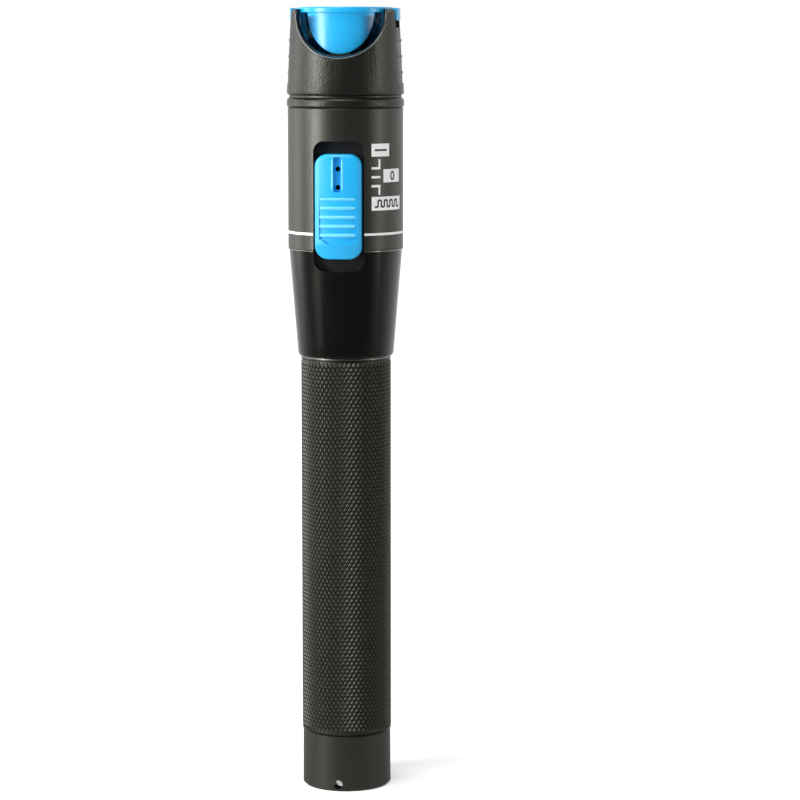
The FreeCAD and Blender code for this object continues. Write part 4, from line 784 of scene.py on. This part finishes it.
class LOCATOR_OT_blue(bpy.types.Operator):
    """Finish the thumb slider and the lid"""
    bl_idname = "locator.blue"
    bl_label = "Slider and lid"

    def execute(self, context):
        plastic = glossy_plastic("Blue plastic", colours().blue, rough=0.28, dulling=0.2,
                                 Specular_IOR_Level=0.5)
        slider = softened("thumb_slider", 0.04 * MM, plastic, sharp=20)
        # Painted highlight: the paler blue of the ribs and the groove's lips stands in for light
        # catching them, not wear.
        painted_highlight_blue = glossy_plastic("Pale blue plastic as painted highlight", (0.15, 0.62, 0.90), rough=0.16, dulling=0.12,
                              Specular_IOR_Level=0.6)
        self.ribs(slider, painted_highlight_blue)
        self.groove_lips(painted_highlight_blue)
        # The lid's plastic also takes painted shade on the flanks of its tongue.
        shiny_with_painted_shade = glossy_plastic("Polished blue plastic with painted shade", colours().blue, rough=0.2, dulling=0.15,
                               Specular_IOR_Level=0.7)
        self.paint_flank_shade(shiny_with_painted_shade)
        softened("dust_lid", 0.12 * MM, shiny_with_painted_shade)
        finish("lid_seal_pad", grained("Soft grey pad", (0.35, 0.35, 0.34), tops=1.1,
                                       grains=3000.0, depth=0.01 * MM, rough=0.7))
        return {"FINISHED"}

    def paint_flank_shade(self, material):
        """Painted shade: darker blue on the flanks of the lid's tongue, in front and under its
        disc, where the tongue turns away and the notch's walls shade it.
        """
        shade_blue, top = opaque((0.004, 0.07, 0.17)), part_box("dust_lid")[1].z
        tree = material.node_tree
        base = tree.nodes["Principled BSDF"].inputs["Base Color"]
        place = tree.nodes.new("ShaderNodeSeparateXYZ")
        tree.links.new(tree.nodes.new("ShaderNodeTexCoord").outputs["Object"], place.inputs[0])
        aside = math_node(tree, "ABSOLUTE", place.outputs["X"])
        flank = eased(tree, aside, start=4.0 * MM, end=7.2 * MM, first=0.0, last=1.0)
        under = eased(tree, place.outputs["Z"], start=top - 2.4 * MM, end=top - 1.6 * MM,
                      first=1.0, last=0.0)
        front = eased(tree, place.outputs["Y"], start=-5.5 * MM, end=-3.5 * MM, first=1.0,
                      last=0.0)
        shade = math_node(tree, "MULTIPLY", math_node(tree, "MULTIPLY", flank, under), front)
        # Painted shade: the plain blue is blended towards the dark blue by the flank mask.
        tree.links.new(mix_colour(tree, shade, base.links[0].from_socket, shade_blue), base)

    def ribs(self, slider, material):
        """Round bars in place of the slider's flat-topped ribs, in a paler blue that is a painted
        highlight.
        """
        thick, half_angle, along = 0.42 * MM, math.radians(15.6), 24
        bars, lowest, pitch = 5, 6.2, 1.98
        rib_tops, sunk, above = 0.03 * MM, 0.18 * MM, 3 * MM
        low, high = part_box("thumb_slider")
        middle, crown = (low.z + high.z) / 2, -low.y
        for vert in slider.data.vertices:
            reach = math.hypot(vert.co.x, vert.co.y)
            if reach > crown - rib_tops and vert.co.z < middle + above:
                lower = (crown - sunk) / reach
                vert.co.x *= lower
                vert.co.y *= lower
        path_radius = crown - thick
        end = thick / path_radius
        angles = [-half_angle - end, -half_angle - 0.66 * end,
                  *(half_angle * (2 * part / along - 1) for part in range(along + 1)),
                  half_angle + 0.66 * end, half_angle + end]
        outward = [Vector((math.sin(angle), -math.cos(angle), 0)) for angle in angles]
        shapes = []
        for step in range(bars):
            rise = Vector((0, 0, middle - lowest * MM + step * pitch * MM))
            path = [out * path_radius + rise for out in outward]
            shapes.append(bead(path, outward, thick, tapers=(0.05, 0.75)))
        verts, faces = gathered(shapes)
        new_piece("slider_ribs", verts, faces, material, "slider",
                  smooth_angle=math.radians(50))

    def groove_lips(self, material):
        """A fine raised lip along each side of the slider's lamp groove, in the paler blue of the
        painted highlight.
        """
        thick, proud, steps = 0.26 * MM, 0.09 * MM, 16
        aside, length = 1.1 * MM, 7.5 * MM
        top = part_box("thumb_slider")[1].z - 0.7 * MM
        packed = frame["nodes"]["thumb_slider"].data
        surface = BVHTree.FromPolygons([vert.co for vert in packed.vertices],
                                       [face.vertices for face in packed.polygons])
        shapes = []
        for side in (-1, 1):
            path = []
            for step in range(steps + 1):
                start = Vector((side * aside, -1.0, top - length * step / steps))
                point = surface.ray_cast(start, Vector((0, 1, 0)))[0]
                path.append(point + Vector((0, thick - proud, 0)))
            shapes.append(bead(path, [Vector((0, -1, 0))] * len(path), thick,
                               tapers=(0.4, 0.85)))
        verts, faces = gathered(shapes)
        new_piece("groove_lips", verts, faces, material, "slider",
                  smooth_angle=math.radians(50))


class LOCATOR_OT_inside(bpy.types.Operator):
    """Finish the port, the laser module, the board, the switch and the cells"""
    bl_idname = "locator.inside"
    bl_label = "Port and inner parts"

    def execute(self, context):
        paint = colours()
        nickel = lathed("Nickel plate", paint.nickel, rough=0.16, variation=0.15,
                        depth=0.002 * MM, Metallic=1.0)
        steel = lathed("Bright steel", (0.5, 0.5, 0.49), rough=0.25, variation=0.15,
                       depth=0.003 * MM, Metallic=1.0)
        brass = lathed("Turned brass", paint.brass, rough=0.22, variation=0.15,
                       depth=0.003 * MM, Metallic=1.0)
        black = grained("Black moulding", (0.014, 0.014, 0.014), tops=1.5, grains=5000.0,
                        depth=0.008 * MM, rough=0.3)
        rubber = grained("Black rubber", (0.012, 0.012, 0.012), tops=1.6, grains=2500.0,
                         depth=0.01 * MM, rough=0.65)
        chip = grained("Black epoxy", (0.02, 0.02, 0.02), tops=1.5, grains=6000.0,
                       depth=0.006 * MM, rough=0.55)
        ceramic = glossy_plastic("Zirconia", (0.83, 0.83, 0.80), rough=0.12, dulling=0.06)
        board = glossy_plastic("Green solder mask", (0.01, 0.13, 0.05), rough=0.3, dulling=0.1)
        jacket = glossy_plastic("Cell jacket", (0.10, 0.12, 0.14), rough=0.25, dulling=0.1,
                                Metallic=0.6)
        lamp = glossy_plastic("Red lamp resin", (0.6, 0.02, 0.015), rough=0.15, dulling=0.05)
        lens, _, _ = new_material("Coated glass", Base_Color=(0.9, 0.95, 1.0, 1.0),
                                  Roughness=0.03, Transmission_Weight=1.0, IOR=1.6)
        plan = {
            nickel: ("port_body", "port_nut", "spring_plate", "positive_contact", "ground_clip",
                     "laser_diode"),
            steel: ("battery_spring", "board_screws", "head_screws", "lid_hinge_pin",
                    "switch_case"),
            brass: ("laser_holder", "ferrule_stop"), black: ("inner_chassis", "switch_lever"),
            rubber: ("tail_seal_ring",), ceramic: ("alignment_sleeve",),
            board: ("circuit_board",), chip: ("driver_chip", "board_components"),
            jacket: ("battery_lower", "battery_upper"), lens: ("focusing_lens",),
            lamp: ("indicator_led",),
        }
        for material, nodes in plan.items():
            for node in nodes:
                finish(node, material)
        return {"FINISHED"}


# ---------------------------------------------------------------- stage

# How bright the room is as light on the pen, and the front of it in reflections.
ROOM = 0.15
DIM_FRONT = 0.08
# Each lamp's place, width, height and watts.
LAMPS = {
    "key_light": ((-0.66, -0.46, 0.30), 0.24, 0.6, 7.6),
    "rim_light": ((-0.75, 0.15, 0.25), 0.3, 0.7, 2.2),
    "side_light": ((0.76, -0.16, 0.25), 0.14, 0.6, 1.8),
    "top_light": ((-0.1, -0.3, 0.85), 0.3, 0.3, 3.2),
}


def soft_light(name, target, place, wide, tall, power):
    """A rectangular lamp that shines at the target."""
    lamp = bpy.data.lights.new(name, "AREA")
    lamp.shape = "RECTANGLE"
    lamp.size, lamp.size_y = wide, tall
    lamp.energy = power
    item = linked(name, lamp)
    item.location = place
    item.rotation_euler = (Vector(target) - Vector(place)).to_track_quat("-Z", "Y").to_euler()


class LOCATOR_OT_stage(bpy.types.Operator):
    """Set the floor, the light, the white surround and the camera"""
    bl_idname = "locator.stage"
    bl_label = "Stage and camera"

    def execute(self, context):
        self.floor()
        self.surround(context.scene)
        middle = (0, 0, cad_bounds[1].z * 0.55)
        for name, lamp in LAMPS.items():
            soft_light(name, middle, *lamp)
        self.camera(context.scene)
        return {"FINISHED"}

    def floor(self):
        """A pale floor that keeps the shadow near the pen and fades to white far from it."""
        reach = 6.0
        mesh = bpy.data.meshes.new("floor")
        mesh.from_pydata([(-reach, -reach, 0), (reach, -reach, 0), (reach, reach, 0),
                          (-reach, reach, 0)], [], [(0, 1, 2, 3)])
        item = linked("floor", mesh)
        material, tree, shader = new_material("Pale floor", Base_Color=(0.9, 0.9, 0.9, 1),
                                              Roughness=0.8, Specular_IOR_Level=0.0)
        path = tree.nodes.new("ShaderNodeLightPath")
        where = tree.nodes.new("ShaderNodeTexCoord").outputs["Object"]
        far = tree.nodes.new("ShaderNodeVectorMath")
        far.operation = "LENGTH"
        tree.links.new(where, far.inputs[0])
        fade = eased(tree, far.outputs["Value"], start=0.05, end=0.6, first=0.5, last=1.0)
        parts = tree.nodes.new("ShaderNodeSeparateXYZ")
        tree.links.new(where, parts.inputs[0])
        glow = tree.nodes.new("ShaderNodeEmission")
        tree.links.new(math_node(tree, "MULTIPLY", path.outputs["Is Camera Ray"], fade),
                       glow.inputs["Strength"])
        both = tree.nodes.new("ShaderNodeAddShader")
        tree.links.new(shader.outputs[0], both.inputs[0])
        tree.links.new(glow.outputs[0], both.inputs[1])
        mirrored = tree.nodes.new("ShaderNodeEmission")
        backdrop = eased(tree, parts.outputs["Y"], start=-0.3, end=0.5, first=DIM_FRONT,
                         last=1.0)
        tree.links.new(backdrop, mirrored.inputs["Strength"])
        choice = tree.nodes.new("ShaderNodeMixShader")
        tree.links.new(path.outputs["Is Glossy Ray"], choice.inputs["Fac"])
        tree.links.new(both.outputs[0], choice.inputs[1])
        tree.links.new(mirrored.outputs[0], choice.inputs[2])
        tree.links.new(choice.outputs[0], tree.nodes["Material Output"].inputs["Surface"])
        material.cycles.emission_sampling = "NONE"
        mesh.materials.append(material)

    def surround(self, scene):
        """White to the eye, in glass and in reflections of the back; a grey room as light."""
        world = bpy.data.worlds.new("Studio")
        scene.world = world
        world.use_nodes = True
        tree = world.node_tree
        path = tree.nodes.new("ShaderNodeLightPath")
        seen = math_node(tree, "MAXIMUM", path.outputs["Is Camera Ray"],
                         path.outputs["Is Transmission Ray"])
        parts = tree.nodes.new("ShaderNodeSeparateXYZ")
        tree.links.new(tree.nodes.new("ShaderNodeTexCoord").outputs["Generated"],
                       parts.inputs[0])
        backdrop = eased(tree, parts.outputs["Y"], start=-0.2, end=0.7, first=DIM_FRONT,
                         last=1.0)
        shown = math_node(tree, "MULTIPLY", path.outputs["Is Glossy Ray"], backdrop)
        room = math_node(tree, "MULTIPLY_ADD", path.outputs["Is Glossy Ray"], -ROOM, ROOM)
        strength = math_node(tree, "MAXIMUM", math_node(tree, "ADD", room, shown), seen)
        tree.nodes["Background"].inputs["Color"].default_value = (1, 1, 1, 1)
        tree.links.new(strength, tree.nodes["Background"].inputs["Strength"])
        scene.view_settings.view_transform = "Standard"

    def camera(self, scene):
        """A long lens a little above the pen's middle, turned to its right side."""
        data = bpy.data.cameras.new("camera")
        data.lens = 127.5
        data.sensor_width = 36.0
        data.clip_start = 0.01
        turn, tilt = math.radians(6.6), math.radians(7.15)
        back, aside, up = 0.632, 0.0121, 0.167
        item = linked("camera", data)
        item.location = (back * math.sin(turn) + aside * math.cos(turn),
                         -back * math.cos(turn) + aside * math.sin(turn), up)
        item.rotation_euler = Euler((math.pi / 2 - tilt, 0, turn), "XYZ")
        scene.camera = item


# ---------------------------------------------------------------- panel and run

class LOCATOR_PT_panel(bpy.types.Panel):
    """Settings and steps of the fault locator"""
    bl_idname = "LOCATOR_PT_panel"
    bl_label = "Visual fault locator"
    bl_space_type = "VIEW_3D"
    bl_region_type = "UI"
    bl_category = "Fault locator"

    def draw(self, context):
        for settings in (context.scene.locator_sizes, context.scene.locator_colours):
            for name in settings.__annotations__:
                self.layout.prop(settings, name)
        for step in STEPS:
            self.layout.operator(step.bl_idname)


STEPS = (LOCATOR_OT_stage, LOCATOR_OT_grip, LOCATOR_OT_metal, LOCATOR_OT_print, LOCATOR_OT_head,
         LOCATOR_OT_blue, LOCATOR_OT_inside)
CLASSES = (LocatorSizes, LocatorColours) + STEPS + (LOCATOR_PT_panel,)


def register():
    for item in CLASSES:
        bpy.utils.register_class(item)
    bpy.types.Scene.locator_sizes = bpy.props.PointerProperty(type=LocatorSizes)
    bpy.types.Scene.locator_colours = bpy.props.PointerProperty(type=LocatorColours)


def unregister():
    del bpy.types.Scene.locator_colours
    del bpy.types.Scene.locator_sizes
    for item in reversed(CLASSES):
        bpy.utils.unregister_class(item)


def main():
    register()
    bpy.ops.locator.stage()
    bpy.ops.locator.grip()
    bpy.ops.locator.metal()
    bpy.ops.locator.print()
    bpy.ops.locator.head()
    bpy.ops.locator.blue()
    bpy.ops.locator.inside()


if __name__ == "__main__":
    main()
